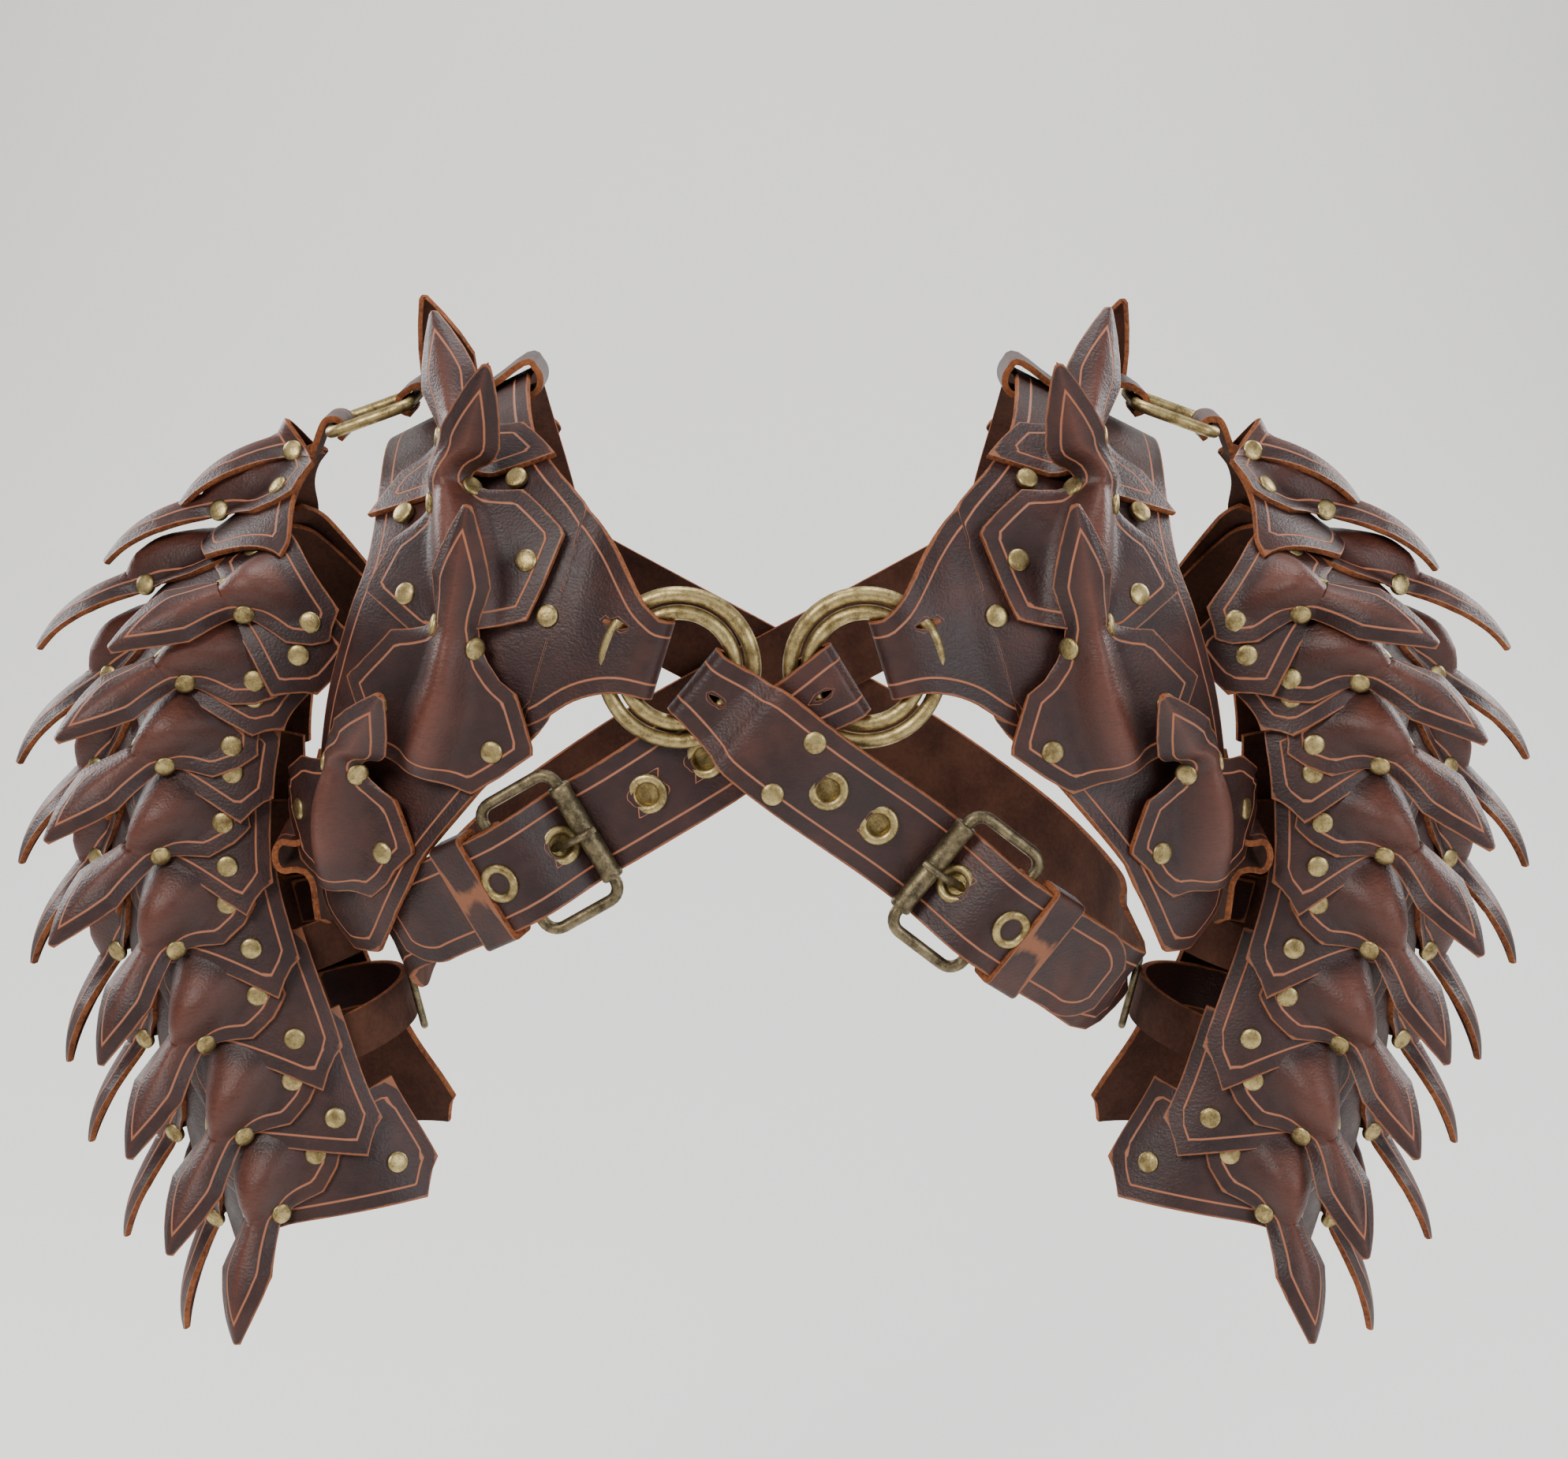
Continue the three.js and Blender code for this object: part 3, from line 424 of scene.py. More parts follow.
# radius and height up the axis
rivetShape = [(0.0, -1.4), (4.3, -1.4), (4.5, 0.0), (4.45, 0.5), (4.1, 0.95), (3.0, 1.3), (1.5, 1.5),
              (0.02, 1.56)]
eyeletShape = [(4.3, -2.6), (5.4, -2.6), (8.0, -0.2), (8.0, 0.5), (7.3, 1.15), (6.1, 1.35), (5.0, 1.0),
               (4.3, 0.1), (4.1, -2.6)]
rivets = {1: Piece(), -1: Piece()}


def slitRings(at, run, across, size, depth):
    # eye-shaped outline pushed through from the front
    outline = [run * size[0] * math.cos(t) + across * size[1] * math.sin(t) * (1 - 0.45 * abs(math.cos(t)))
               for t in fullTurn(20)]
    return [[at + p for p in outline], [at + frontAxis * depth + p for p in outline]]


def punched(made, tool, hand):
    # cuts the tool's solids out of a finished piece
    mesh = bpy.data.meshes.new("punch")
    mesh.from_pydata([tuple(p * np.array((hand * mm, mm, mm))) for p in tool.verts], [], tool.faces)
    shape = bmesh.new()
    shape.from_mesh(mesh)
    bmesh.ops.recalc_face_normals(shape, faces=shape.faces)
    shape.to_mesh(mesh)
    shape.free()
    punch = bpy.data.objects.new("punch", mesh)
    bpy.context.scene.collection.objects.link(punch)
    hole = made.modifiers.new("holes", "BOOLEAN")
    hole.object, hole.operation, hole.solver = punch, "DIFFERENCE", "EXACT"
    hole.use_self = True
    cut = bpy.data.meshes.new_from_object(made.evaluated_get(bpy.context.evaluated_depsgraph_get()))
    made.modifiers.clear()
    made.data = cut
    bpy.data.objects.remove(punch)


def rivet(hand, at, axis):
    rivets[hand].turned(at, axis, rivetShape, 20)


def rivetOn(hand, place, a, b, height=0.0):
    # square to the surface that place(a, b, height) gives
    spot = place(a, b, height)
    rivet(hand, spot, place(a, b, height + 1) - spot)


# the rounded form that the harness is shaped to
body = {"depth": 118, "backShare": 0.9, "power": 3, "fold": -100, "drop": 100,
        "highX": 105, "flatX": 60, "fall": 0.5,
        "widths": [(-400, 140), (-250, 152), (-180, 188), (-100, 186), (0, 170)]}
leather = 2.6
gap = 0.5


def ridgeHeight(x):
    return body["fall"] * (body["highX"] - max(abs(x), body["flatX"]))


def dropOf(x, z):
    if z < body["fold"]:
        return 1 + (body["fold"] - z) / body["drop"]
    share = (z - body["fold"]) / (ridgeHeight(x) - body["fold"])
    return math.acos(min(share, 1)) / (math.pi / 2)


def bodySurface(x, drop):
    turn = min(abs(drop), 1) * math.pi / 2
    z = body["fold"] - max(abs(drop) - 1, 0) * body["drop"]
    z += (ridgeHeight(x) - body["fold"]) * math.cos(turn)
    levels, halves = zip(*body["widths"])
    share = min(abs(x) / np.interp(z, levels, halves), 0.985)
    depth = body["depth"] * (1 - share ** body["power"]) ** (1 / body["power"])
    return vec(x, (body["backShare"] if drop < 0 else -1) * depth * math.sin(turn), z)


def bodyPoint(x, drop, height):
    stepX, stepDrop = 1.5, 0.015
    across = bodySurface(x + stepX, drop) - bodySurface(x - stepX, drop)
    down = bodySurface(x, drop + stepDrop) - bodySurface(x, drop - stepDrop)
    return bodySurface(x, drop) + unit(np.cross(down, across)) * height


# scales, all cut with one die
die = {
    "neck": 52, "length": 104, "step": 2.6, "closest": 0.7, "ridgeColumns": 12,
    "flapShares": [0.16, 0.36, 0.58, 0.8, 1.0], "foldFrom": 42, "foldOver": 14, "swayOver": 18,
    "neckRivet": (51, 8.6, 3.6), "neckLean": (0.5, 0.86),
    # along, crest, foot, foot height, edge, edge height
    "spike": [(56, 11.2, 6.9, 6.4, 8.9, 1.6), (63, 10.9, 6.6, 7.4, 10.2, 2.9),
              (74, 11.0, 6.5, 9.0, 12.4, 4.8), (84, 11.1, 5.0, 9.7, 9.8, 6.4),
              (94, 11.1, 3.0, 10.3, 6.2, 8.2), (104, 11.0, 0.9, 10.6, 2.0, 9.8)],
    "chest": [(0, 5.5, 13.0, 0.2, 21.0, 0.0), (10, 9.5, 14.0, 0.2, 29.5, 0.0),
              (24, 12.8, 14.6, 0.3, 40.0, 0.0), (34, 13.8, 13.6, 0.6, 33.4, 0.0),
              (44, 13.2, 11.2, 1.6, 26.5, 0.1), (47, 12.6, 9.8, 2.8, 18.5, 0.3),
              (49.5, 12.0, 8.5, 4.2, 13.0, 0.6), (52, 11.5, 7.5, 5.4, 9.8, 1.0)],
    "arm": [(8, 0.6, 20.0, 0.0, 25.0, 0.0), (18, 3.6, 21.0, 0.1, 30.0, 0.0),
            (24, 8.6, 21.0, 0.2, 34.0, 0.0), (34, 15.0, 18.5, 0.4, 31.5, 0.0),
            (44, 15.8, 13.4, 1.2, 25.5, 0.1), (47, 14.9, 11.0, 2.2, 18.0, 0.3),
            (49.5, 13.8, 9.0, 3.6, 13.0, 0.6), (52, 12.6, 7.7, 5.1, 9.8, 1.0)],
    "underarm": [(0, 15.0, 13.0, 0.2, 27.0, 0.0), (10, 14.5, 13.0, 0.2, 31.0, 0.0),
                 (24, 14.0, 13.0, 0.3, 38.0, 0.0), (34, 13.8, 12.6, 0.6, 33.4, 0.0),
                 (44, 13.2, 11.2, 1.6, 26.5, 0.1), (52, 11.5, 7.5, 5.4, 9.8, 1.0)],
    # share of the way from crest to foot, then across and height as shares
    "soft": [(0, 0, 1), (0.2, 0.19, 0.94), (0.4, 0.38, 0.76), (0.6, 0.57, 0.46), (0.8, 0.77, 0.16),
             (1, 1, 0)],
    "pinched": [(0, 0, 1), (0.2, 0.26, 0.965), (0.4, 0.50, 0.84), (0.55, 0.58, 0.66), (0.7, 0.52, 0.40),
                (0.85, 0.62, 0.12), (1, 1, 0)],
    "folded": [(0, 0, 1), (0.2, 0.16, 0.95), (0.4, 0.36, 0.80), (0.6, 0.58, 0.58), (0.8, 0.79, 0.30),
               (1, 1, 0)],
}


def scaleSheet(piece, hand, place, lift, start=0, sway=0, cut="chest", ridge="soft", bow=2.0,
               baseRivet=(19, 24)):
    # place(along, across, height) lays the base on its carrier, and the spike stands off it
    neck = die["neck"]
    table = die[cut] + die["spike"]
    root = place(neck, 0, 0)
    forward = unit(root - place(neck - 6, 0, 0))
    outward = unit(place(neck, 0, 1) - root)
    sideways = np.cross(outward, forward)
    if np.dot(place(neck, 1, 0) - root, sideways) < 0:
        sideways = -sideways

    def spike(run, b, h):
        swing = math.radians(sway) * ease(run / die["swayOver"])
        ahead = forward * math.cos(swing) + sideways * math.sin(swing)
        lifted = outward * math.cos(swing) + sideways * math.sin(swing)
        lifted = unit(lifted - ahead * np.dot(lifted, ahead))
        beside = np.cross(lifted, ahead)
        if np.dot(beside, sideways) < 0:
            beside = -beside
        share = run / (die["length"] - neck)
        turn = math.radians(lift) * mix(0.75, 1, share)
        arc = bow * 4 * share * (1 - share)
        return root + ahead * run * math.cos(turn) + beside * b + lifted * (h + arc + run * math.sin(turn))

    stops = {*np.arange(start, die["length"], die["step"]), *(row[0] for row in table if row[0] >= start)}
    stops = sorted(stops)
    stops = [a for i, a in enumerate(stops)
             if i == 0 or a - stops[i - 1] > die["closest"] or a == die["length"]]
    shares = [k / (die["ridgeColumns"] - 1) for k in range(die["ridgeColumns"])]
    grid, warm = [], []
    alongs, edges = [row[0] for row in table], [row[4] for row in table]
    for a in stops:
        crest, foot, footUp = (curveAt(table, k, a) for k in (1, 2, 3))
        edge, edgeUp = float(np.interp(a, alongs, edges)), curveAt(table, 5, a)
        foldShare = ease((a - die["foldFrom"]) / die["foldOver"])
        half = []
        for s in shares:
            b = mix(curveAt(die[ridge], 1, s), curveAt(die["folded"], 1, s), foldShare)
            h = mix(curveAt(die[ridge], 2, s), curveAt(die["folded"], 2, s), foldShare)
            half.append((foot * b, mix(footUp, crest, h), (1 - s) ** 1.3))
        for s in die["flapShares"]:
            half.append((mix(foot, edge, s), mix(footUp, edgeUp, s), 0))
        line = [(-b, h, w) for b, h, w in half[:0:-1]] + half
        lay = (lambda b, h: spike(a - neck, b, h)) if a > neck else (lambda b, h: place(a, b, h))
        grid.append([lay(b, h) for b, h, w in line])
        # painted highlight along the ridge's crest: strongest where the crest stands tall, weaker towards the
        # spike's tip
        strong = ease((crest - 5) / 6) * mix(1, 0.55, ease((a - 60) / 25))
        warm.append([w * strong for b, h, w in line])
    piece.sheet(grid, outward, leather, warm)
    at, aside, up = die["neckRivet"]
    leanOut, leanAside = die["neckLean"]
    for side in (-1, 1):
        if baseRivet:
            rivetOn(hand, place, baseRivet[0], side * baseRivet[1])
        rivet(hand, place(at, side * aside, up), outward * leanOut + sideways * side * leanAside)


# chest panel
panel = {
    "face": 3.0,
    # inner x, inner z, outer x, outer z, lift, and -1 for the back
    "rows": [(72, -120, 122, -130, 0, -1), (84, -75, 140, -85, 0, -1), (94, -25, 153, -48, 0, -1),
             (97, -1, 155, -29, 0, -1), (98, 3, 156, -26, 0, 1), (94, -10, 155, -42, 0, 1),
             (85, -23, 157, -62, 0, 1), (66, -46, 164, -82, 0, 1), (76, -68, 172, -108, 0, 1),
             (82, -93, 177, -132, 0, 1), (86, -117, 179, -152, 0, 1), (112, -145, 177, -178, 3.2, 1),
             (133, -175, 170, -198, 9.4, 1), (148, -212, 158, -214, 9.4, 1)],
    "steps": 5, "columns": 21, "rivets": [(1.2, 0.2), (1.2, 0.8)],
    "lobeJoin": (7.3, 10.2), "lobeRivet": (85.4, -77),
    "slot": (28, 9.5), "slotSize": (5.2, 2.0), "slotDepth": 12,
}
rings = {"x": 35.5, "y": -122, "z": -95, "wire": 3.0, "outer": 28.5, "inner": 21.5}
ringLoop = {"fold": 12.3, "bend": rings["wire"] + gap + leather / 2, "half": 15, "back": 25, "under": 18,
            "pull": 17, "rows": 18, "columns": 17, "frontRows": 16, "settleFrom": 16, "settleOver": 30,
            "seat": 0.3, "tuck": 1.4, "tuckFrom": 48, "tuckOver": 7,
            # distance from the ring, upper and lower half width
            "lobe": [(12.3, 16.5, 14.6), (20, 20.5, 15.4), (28, 27.5, 19), (36, 35, 25.5), (44, 41, 36),
                     (50, 44, 41), (55, 45, 42)]}


def panelPoint(row, t, height=0.0):
    table = [(i, inX, turn * dropOf(inX, inZ), outX, turn * dropOf(outX, outZ), lift)
             for i, (inX, inZ, outX, outZ, lift, turn) in enumerate(panel["rows"])]
    inX, inDrop, outX, outDrop, lift = (curveAt(table, k, row) for k in range(1, 6))
    return bodyPoint(mix(inX, outX, t), mix(inDrop, outDrop, t), panel["face"] + max(lift, 0) + height)


def ringLobe(ring, pull, across):
    # the panel's end: laid on the chest, then round the ring and back under
    face, fold = ringLoop["bend"] + leather / 2, ringLoop["fold"]
    table, shares = ringLoop["lobe"], np.linspace(-1, 1, ringLoop["columns"])
    lobe = []
    for r in np.linspace(table[-1][0], fold, ringLoop["rows"]):
        up, low = curveAt(table, 1, r), curveAt(table, 2, r)
        seat = ringLoop["seat"] - ringLoop["tuck"] * ease((r - ringLoop["tuckFrom"]) / ringLoop["tuckOver"])
        settled = ease((r - ringLoop["settleFrom"]) / ringLoop["settleOver"])
        line = []
        for t in shares:
            spot = ring + pull * r + across * (t * (up if t > 0 else low))
            laid = bodyPoint(spot[0], dropOf(spot[0], spot[2]), panel["face"] + seat)
            line.append(mix(spot + frontAxis * face, laid, settled))
        lobe.append(line)
    bent = [(fold - face * math.sin(t), face * math.cos(t)) for t in turns(*range(18, 181, 18))]
    for r, h in bent + [(ringLoop["under"], -face), (ringLoop["back"], -face)]:
        middle = ring + pull * r + frontAxis * h
        lobe.append([middle + across * (t * table[0][1 if t > 0 else 2]) for t in shares])
    return lobe


def chestPanel(hand):
    piece = Piece()
    steps, columns = panel["steps"], panel["columns"]
    count = (len(panel["rows"]) - 1) * steps
    grid = [[panelPoint(i / steps, j / (columns - 1)) for j in range(columns)] for i in range(count + 1)]
    joinFrom, joinTo = (int(row * steps) for row in panel["lobeJoin"])
    piece.sheet(grid, frontAxis, leather, joined=lambda i, j: j == 0 and joinFrom <= i < joinTo)
    ring = vec(rings["x"], rings["y"], rings["z"])
    pull = vec(math.cos(math.radians(ringLoop["pull"])), 0, math.sin(math.radians(ringLoop["pull"])))
    across = np.cross(pull, (0, 1, 0))
    lobe = ringLobe(ring, pull, across)
    facing = np.zeros((len(lobe), ringLoop["columns"], 3))
    facing[:ringLoop["frontRows"]] = frontAxis
    piece.sheet(lobe, facing, leather, joined=lambda i, j: i == 0)
    for row, t in panel["rivets"]:
        rivetOn(hand, panelPoint, row, t)
    x, z = panel["lobeRivet"]
    rivetOn(hand, bodyPoint, x, dropOf(x, z), panel["face"] + 0.4)
    made = piece.build("chest panel", hand, plateWork)
    slit = Piece()
    slitAt = ring + pull * panel["slot"][0] + across * panel["slot"][1]
    slit.tube(slitRings(slitAt, unit(pull - across * 0.1), across, panel["slotSize"], panel["slotDepth"]))
    punched(made, slit, hand)


def ringPair(hand):
    centre = vec(rings["x"], rings["y"], rings["z"])
    for size in ("outer", "inner"):
        piece = Piece()
        path = [centre + rings[size] * vec(math.cos(t), 0, math.sin(t)) for t in fullTurn(71)]
        piece.tube(wireRings(path, rings["wire"], frontAxis, 16), closed=True)
        piece.build(size + " ring", hand, brassWork, "ring " + size)


for hand in (1, -1):
    chestPanel(hand)
    ringPair(hand)
print("chest panels and rings made")

chestScales = {
    "chest scale 1": {"x": 119, "z": -53, "heading": 0, "lift": 22, "sway": 0, "seat": -1.1, "start": 24},
    "chest scale 2": {"x": 112, "z": -84, "heading": 8, "lift": 46, "sway": -32, "seat": 1.7, "start": 0},
    "chest scale 3": {"x": 132, "z": -139, "heading": -18, "lift": 16, "sway": -4, "seat": 2.5, "start": 0},
    "chest scale 4": {"x": 164, "z": -184, "heading": -12, "lift": 13, "sway": -26, "seat": 6.3, "start": 0},
    "back scale": {"x": 127, "z": -62, "heading": 0, "lift": 30, "sway": 0, "seat": 0.3, "start": 0,
                   "back": True},
}
sideScale = {"x": 186, "y": -69, "z": -182.5, "rise": 6, "lift": 0, "round": 300}
scaleSeat = 1.3


def chestScale(hand, name, spec):
    x, turn = spec["x"], -1 if spec.get("back") else 1
    drop = dropOf(x, spec["z"])
    xScale = np.linalg.norm(bodySurface(x + 0.5, drop) - bodySurface(x - 0.5, drop))
    downScale = np.linalg.norm(bodySurface(x, drop + 0.01) - bodySurface(x, drop - 0.01)) / 0.02
    heading = math.radians(spec["heading"] + rng.normal(0, 0.8))

    def place(a, b, h):
        upward = a * math.cos(heading) - b * math.sin(heading)
        aside = a * math.sin(heading) + b * math.cos(heading)
        height = panel["face"] + scaleSeat + leather + spec["seat"] + h
        return bodyPoint(x + aside / xScale, turn * (drop - upward / downScale), height)

    piece = Piece()
    scaleSheet(piece, hand, place, spec["lift"] + rng.normal(0, 1), spec["start"], spec["sway"])
    piece.build(name, hand, plateWork)


def underarmScale(hand):
    rise = math.radians(sideScale["rise"])
    backward, outward = vec(0, math.cos(rise), math.sin(rise)), vec(1, 0, 0)
    across = np.cross(outward, backward)
    root = vec(sideScale["x"], sideScale["y"], sideScale["z"])

    def place(a, b, h):
        return root + backward * a + across * b + outward * (h - b * b / (2 * sideScale["round"]))

    piece = Piece()
    scaleSheet(piece, hand, place, sideScale["lift"], cut="underarm", ridge="pinched")
    piece.build("chest scale 5", hand, plateWork)


for hand in (1, -1):
    for name, spec in chestScales.items():
        chestScale(hand, name, spec)
    underarmScale(hand)
print("chest scales made")


# straps
def strapSheet(piece, sections, parts=4, columns=11, scored=True):
    # sections of (middle, side direction, half width) along the strap
    rows = [np.concatenate((at, side * half)) for at, side, half in sections]
    path = spline(rows, parts)
    grid, ups = [], []
    for i, row in enumerate(path):
        run = unit(path[min(i + 1, len(path) - 1)][:3] - path[max(i - 1, 0)][:3])
        half = np.linalg.norm(row[3:])
        up = unit(np.cross(run, row[3:]))
        across = np.cross(up, run)
        ups.append(up)
        grid.append([row[:3] + across * half * t + up * leather / 2 for t in np.linspace(-1, 1, columns)])
    facing = np.repeat(np.array(ups)[:, None, :], columns, axis=1)
    piece.sheet(grid, facing, leather, scored=scored)


strap = {"half": 20, "foldBack": 25, "buckleAt": 124, "rest": 1.8, "fall": 0.3,
         "flatFrom": -16, "flatTo": 3, "climbFrom": (9, 4.6),
         "tailEnd": 88, "tip": [(-12, 20), (-5, 16.5), (0, 10)],
         "holes": [-53, -27], "tongueHole": 12, "lastHole": 38, "holeRadius": 5.0, "holeDepth": 8,
         "slit": (18.5, 3.8, 1.5), "slitDepth": 16, "rivetsAt": 57, "rivets": (11.7, -14.0)}
# the left strap lies over the right one; route is distance from the ring, height, half width
crossStraps = {
    1: {"angle": 38.7, "route": [(24, 4.8, 17), (31, 8, 18), (38, 11.2, 20), (62, 11.2, 20), (84, 5, 20)]},
    -1: {"angle": 31, "route": [(33, 4.8, 12.5), (45, -8.9, 12.5), (60, -8.9, 20)]},
}
buckle = {"length": 33, "half": 28, "corner": 6, "wire": 2.4, "plane": 8}
# lip is radius below the roller's own, and distance from its end
roller = {"radius": 4.5, "bore": 2.9, "half": 21, "lip": [(0.6, 0), (0, 0.8), (0, 3), (0.25, 3.6)]}
prong = {"radius": 1.8, "rise": [(19, 4.3), (12.4, 6.2)], "rest": [(6, -2.6), (0, 0), (-5, -1.6)],
         "rootDrop": 1, "rootGap": 2.4}
keeper = {"at": 50, "length": 16, "corner": 2.5, "room": 1.8}
sideStrap = {"tuck": 3.5, "pastTail": 6, "behind": 5, "backFrom": 90, "oval": (170, 112),
             "route": [(147, -14, -231), (144, 30, -229), (116, 82, -212), (60, 109, -178), (0, 115, -146),
                       (-55, 114, -116), (-92, 110, -95)]}


class StrapRun:
    # where a cross strap runs: from its ring over the chest to the buckle, whose own axes are u, v and w
    def __init__(self, hand):
        angle, at = math.radians(crossStraps[hand]["angle"]), strap["buckleAt"]
        self.hand = hand
        self.ring = vec(-rings["x"], rings["y"], rings["z"])
        self.pull = vec(math.cos(angle), 0, -math.sin(angle))
        self.across = np.cross(self.pull, (0, 1, 0))
        self.route = crossStraps[hand]["route"]
        self.origin = self.onBody(at, 0)
        self.u = unit(self.onBody(at + 20, 0) - self.onBody(at - 10, 0))
        self.v = unit(np.cross(unit(self.onBody(at, 1) - self.origin), self.u))
        self.w = np.cross(self.u, self.v)
        self.heel = buckle["length"]
        self.top = buckle["plane"] + buckle["wire"] + gap + leather / 2  # leather over the heel bar
        self.layer = (leather + gap) / math.cos(math.atan(strap["fall"]))
        self.floorAt = self.heel + (self.top - strap["rest"]) / strap["fall"]

    def onBody(self, r, height):
        spot = self.ring + self.pull * r
        return bodyPoint(spot[0], dropOf(spot[0], spot[2]), height)

    def offRing(self, r, height):
        return self.ring + self.pull * r + frontAxis * height

    def local(self, a, h):
        return self.origin + self.u * a + self.w * h


def strapTongue(run):
    bend, fold, half = ringLoop["bend"], ringLoop["fold"], ringLoop["half"]
    nearRing = [(strap["foldBack"], -bend, half), (fold, -bend, half)]
    nearRing += [(fold - bend * math.sin(t), bend * math.cos(t), half) for t in turns(135, 90, 45)]
    nearRing += [(fold, bend, half)] + run.route
    flat = [(strap["flatFrom"], strap["rest"]), (strap["flatTo"], strap["rest"]), strap["climbFrom"],
            (run.heel, run.top + run.layer)]
    tail = [(run.floorAt, strap["half"])] + [(strap["tailEnd"] + a, half) for a, half in strap["tip"]]
    sections = [(run.offRing(r, h), run.across, half) for r, h, half in nearRing]
    sections += [(run.local(a, h), run.v, strap["half"]) for a, h in flat]
    sections += [(run.onBody(strap["buckleAt"] + a, strap["rest"] + run.layer), run.v, half)
                 for a, half in tail]
    return sections


def strapHoles(run, made):
    high = run.top + run.layer
    fromA, fromH = strap["climbFrom"]
    climb = (high - fromH) / (run.heel - fromA)
    start, stop = run.offRing(*run.route[-1][:2]), run.local(strap["flatFrom"], strap["rest"])
    spots = [(stop + unit(start - stop) * (strap["flatFrom"] - a), run.w) for a in strap["holes"]]
    tongueAt = strap["tongueHole"]
    spots.append((run.local(tongueAt, fromH + climb * (tongueAt - fromA)), unit(run.w - run.u * climb)))
    eyelets, cutter = Piece(), Piece()
    radius, depth = strap["holeRadius"], strap["holeDepth"]
    for spot, axis in spots:
        eyelets.turned(spot + unit(axis) * leather / 2, axis, eyeletShape, 28)
        cutter.turned(spot, axis, [(0.01, -depth), (radius, -depth), (radius, depth), (0.01, depth)], 28)
    lastAt = strap["lastHole"]
    lastSpot = run.local(lastAt, high - strap["fall"] * (lastAt - run.heel) + leather / 2)
    eyelets.turned(lastSpot, unit(run.w + run.u * strap["fall"]), eyeletShape, 28)
    eyelets.build("eyelets", run.hand, brassWork, node="")
    slitAt = run.ring + run.pull * strap["slit"][0]
    cutter.tube(slitRings(slitAt, run.pull, run.across, strap["slit"][1:], strap["slitDepth"]))
    punched(made, cutter, run.hand)


def crossStrap(run):
    piece = Piece()
    strapSheet(piece, strapTongue(run))
    made = piece.build("cross strap", run.hand, strapWork)
    strapHoles(run, made)
    if run.hand > 0:  # only the upper strap shows its rivets
        face = run.offRing(strap["rivetsAt"], run.route[2][1] + leather / 2)
        for aside in strap["rivets"]:
            rivet(run.hand, face + run.across * aside, frontAxis)


def strapBuckle(run):
    centre, outer, half = run.local(0, buckle["plane"]), roller["radius"], roller["half"]
    frameWire = Piece()
    frameWire.tube(wireRings(framePath(centre, run.u, run.v, buckle), buckle["wire"], run.w), closed=True)
    frameWire.build("buckle frame", run.hand, blackenedWork)
    barrel = Piece()
    lip = [(roller["bore"], 0)] + [(outer - less, inset) for less, inset in roller["lip"]]
    profile = [(r, inset - half) for r, inset in lip] + [(r, half - inset) for r, inset in lip[::-1]]
    barrel.turned(centre, run.v, profile, 28)
    barrel.build("buckle roller", run.hand, blackenedWork)
    over = buckle["plane"] + outer + gap + prong["radius"]
    root = run.heel - buckle["wire"] - leather - gap * prong["rootGap"]
    points = [(root, buckle["plane"] - prong["rootDrop"])] + prong["rise"]
    points += [(a, over + h) for a, h in prong["rest"]]
    line = spline([run.local(a, h) for a, h in points], 6)
    sizes = [prong["radius"] * mix(1.1, 0.75, i / len(line)) for i in range(len(line))]
    pin = Piece()
    pin.tube(wireRings(line, sizes, run.v, 12, closed=False))
    pin.build("buckle prong", run.hand, blackenedWork)


def strapKeeper(run):
    rampTop = run.local(run.heel, run.top)
    along = unit(run.onBody(strap["buckleAt"] + run.floorAt, strap["rest"]) - rampTop)
    up = unit(np.cross(along, run.v))
    aside = np.cross(up, along)
    centre = rampTop + along * (keeper["at"] - run.heel) + up * run.layer / 2
    wide, tall = strap["half"] + gap + leather, leather + gap * keeper["room"] + leather
    corner = keeper["corner"]
    loop = []
    for x, y, begin in ((1, 1, 0), (-1, 1, 90), (-1, -1, 180), (1, -1, 270)):
        for k in range(5):
            t = math.radians(begin + 90 * k / 4)
            loop.append((x * (wide - corner) + corner * math.cos(t),
                         y * (tall - corner) + corner * math.sin(t)))
    loop = [(0.0, tall)] + loop[5:] + loop[:5] + [(-0.4, tall + 0.05)]  # its ends meet on top
    shares = np.linspace(-0.5, 0.5, 7)
    band = [[centre + aside * b + up * h + along * keeper["length"] * t for t in shares] for b, h in loop]
    away = np.array([[aside * b + up * h * 4 for t in shares] for b, h in loop])
    piece = Piece()
    piece.sheet(band, away, leather, scored=False)
    piece.build("strap keeper", run.hand, strapWork)


def sideBand(run):
    # round the buckle's heel bar, under the tail, then round the side and across the back
    wrap, plane, heel = buckle["wire"] + gap + leather / 2, buckle["plane"], run.heel
    around = [(heel + sideStrap["tuck"], plane - wrap), (heel, plane - wrap)]
    around += [(heel + wrap * math.cos(t), plane + wrap * math.sin(t)) for t in turns(225, 180, 135)]
    around.append((heel, run.top))
    sections = [(run.local(a, h), run.v, strap["half"]) for a, h in around]
    sections += [(run.onBody(strap["buckleAt"] + a, strap["rest"]), run.v, strap["half"])
                 for a in (run.floorAt, strap["tailEnd"] + sideStrap["pastTail"])]
    behind = sideStrap["behind"] if run.hand > 0 else 0
    path = [sections[-1][0]] + [vec(x, y + (behind if y > sideStrap["backFrom"] else 0), z)
                                for x, y, z in sideStrap["route"]]
    points = spline(path, 4)[3:]
    wide, deep = sideStrap["oval"]
    for i, p in enumerate(points):
        step = points[min(i + 1, len(points) - 1)] - points[max(i - 1, 0)]
        lie = unit(np.cross(step, vec(p[0] / wide ** 2, p[1] / deep ** 2, 0)))
        sections.append((p, lie if np.dot(lie, sections[-1][1]) > 0 else -lie, strap["half"]))
    piece = Piece()
    strapSheet(piece, sections, 3)
    piece.build("side strap", run.hand, strapWork)


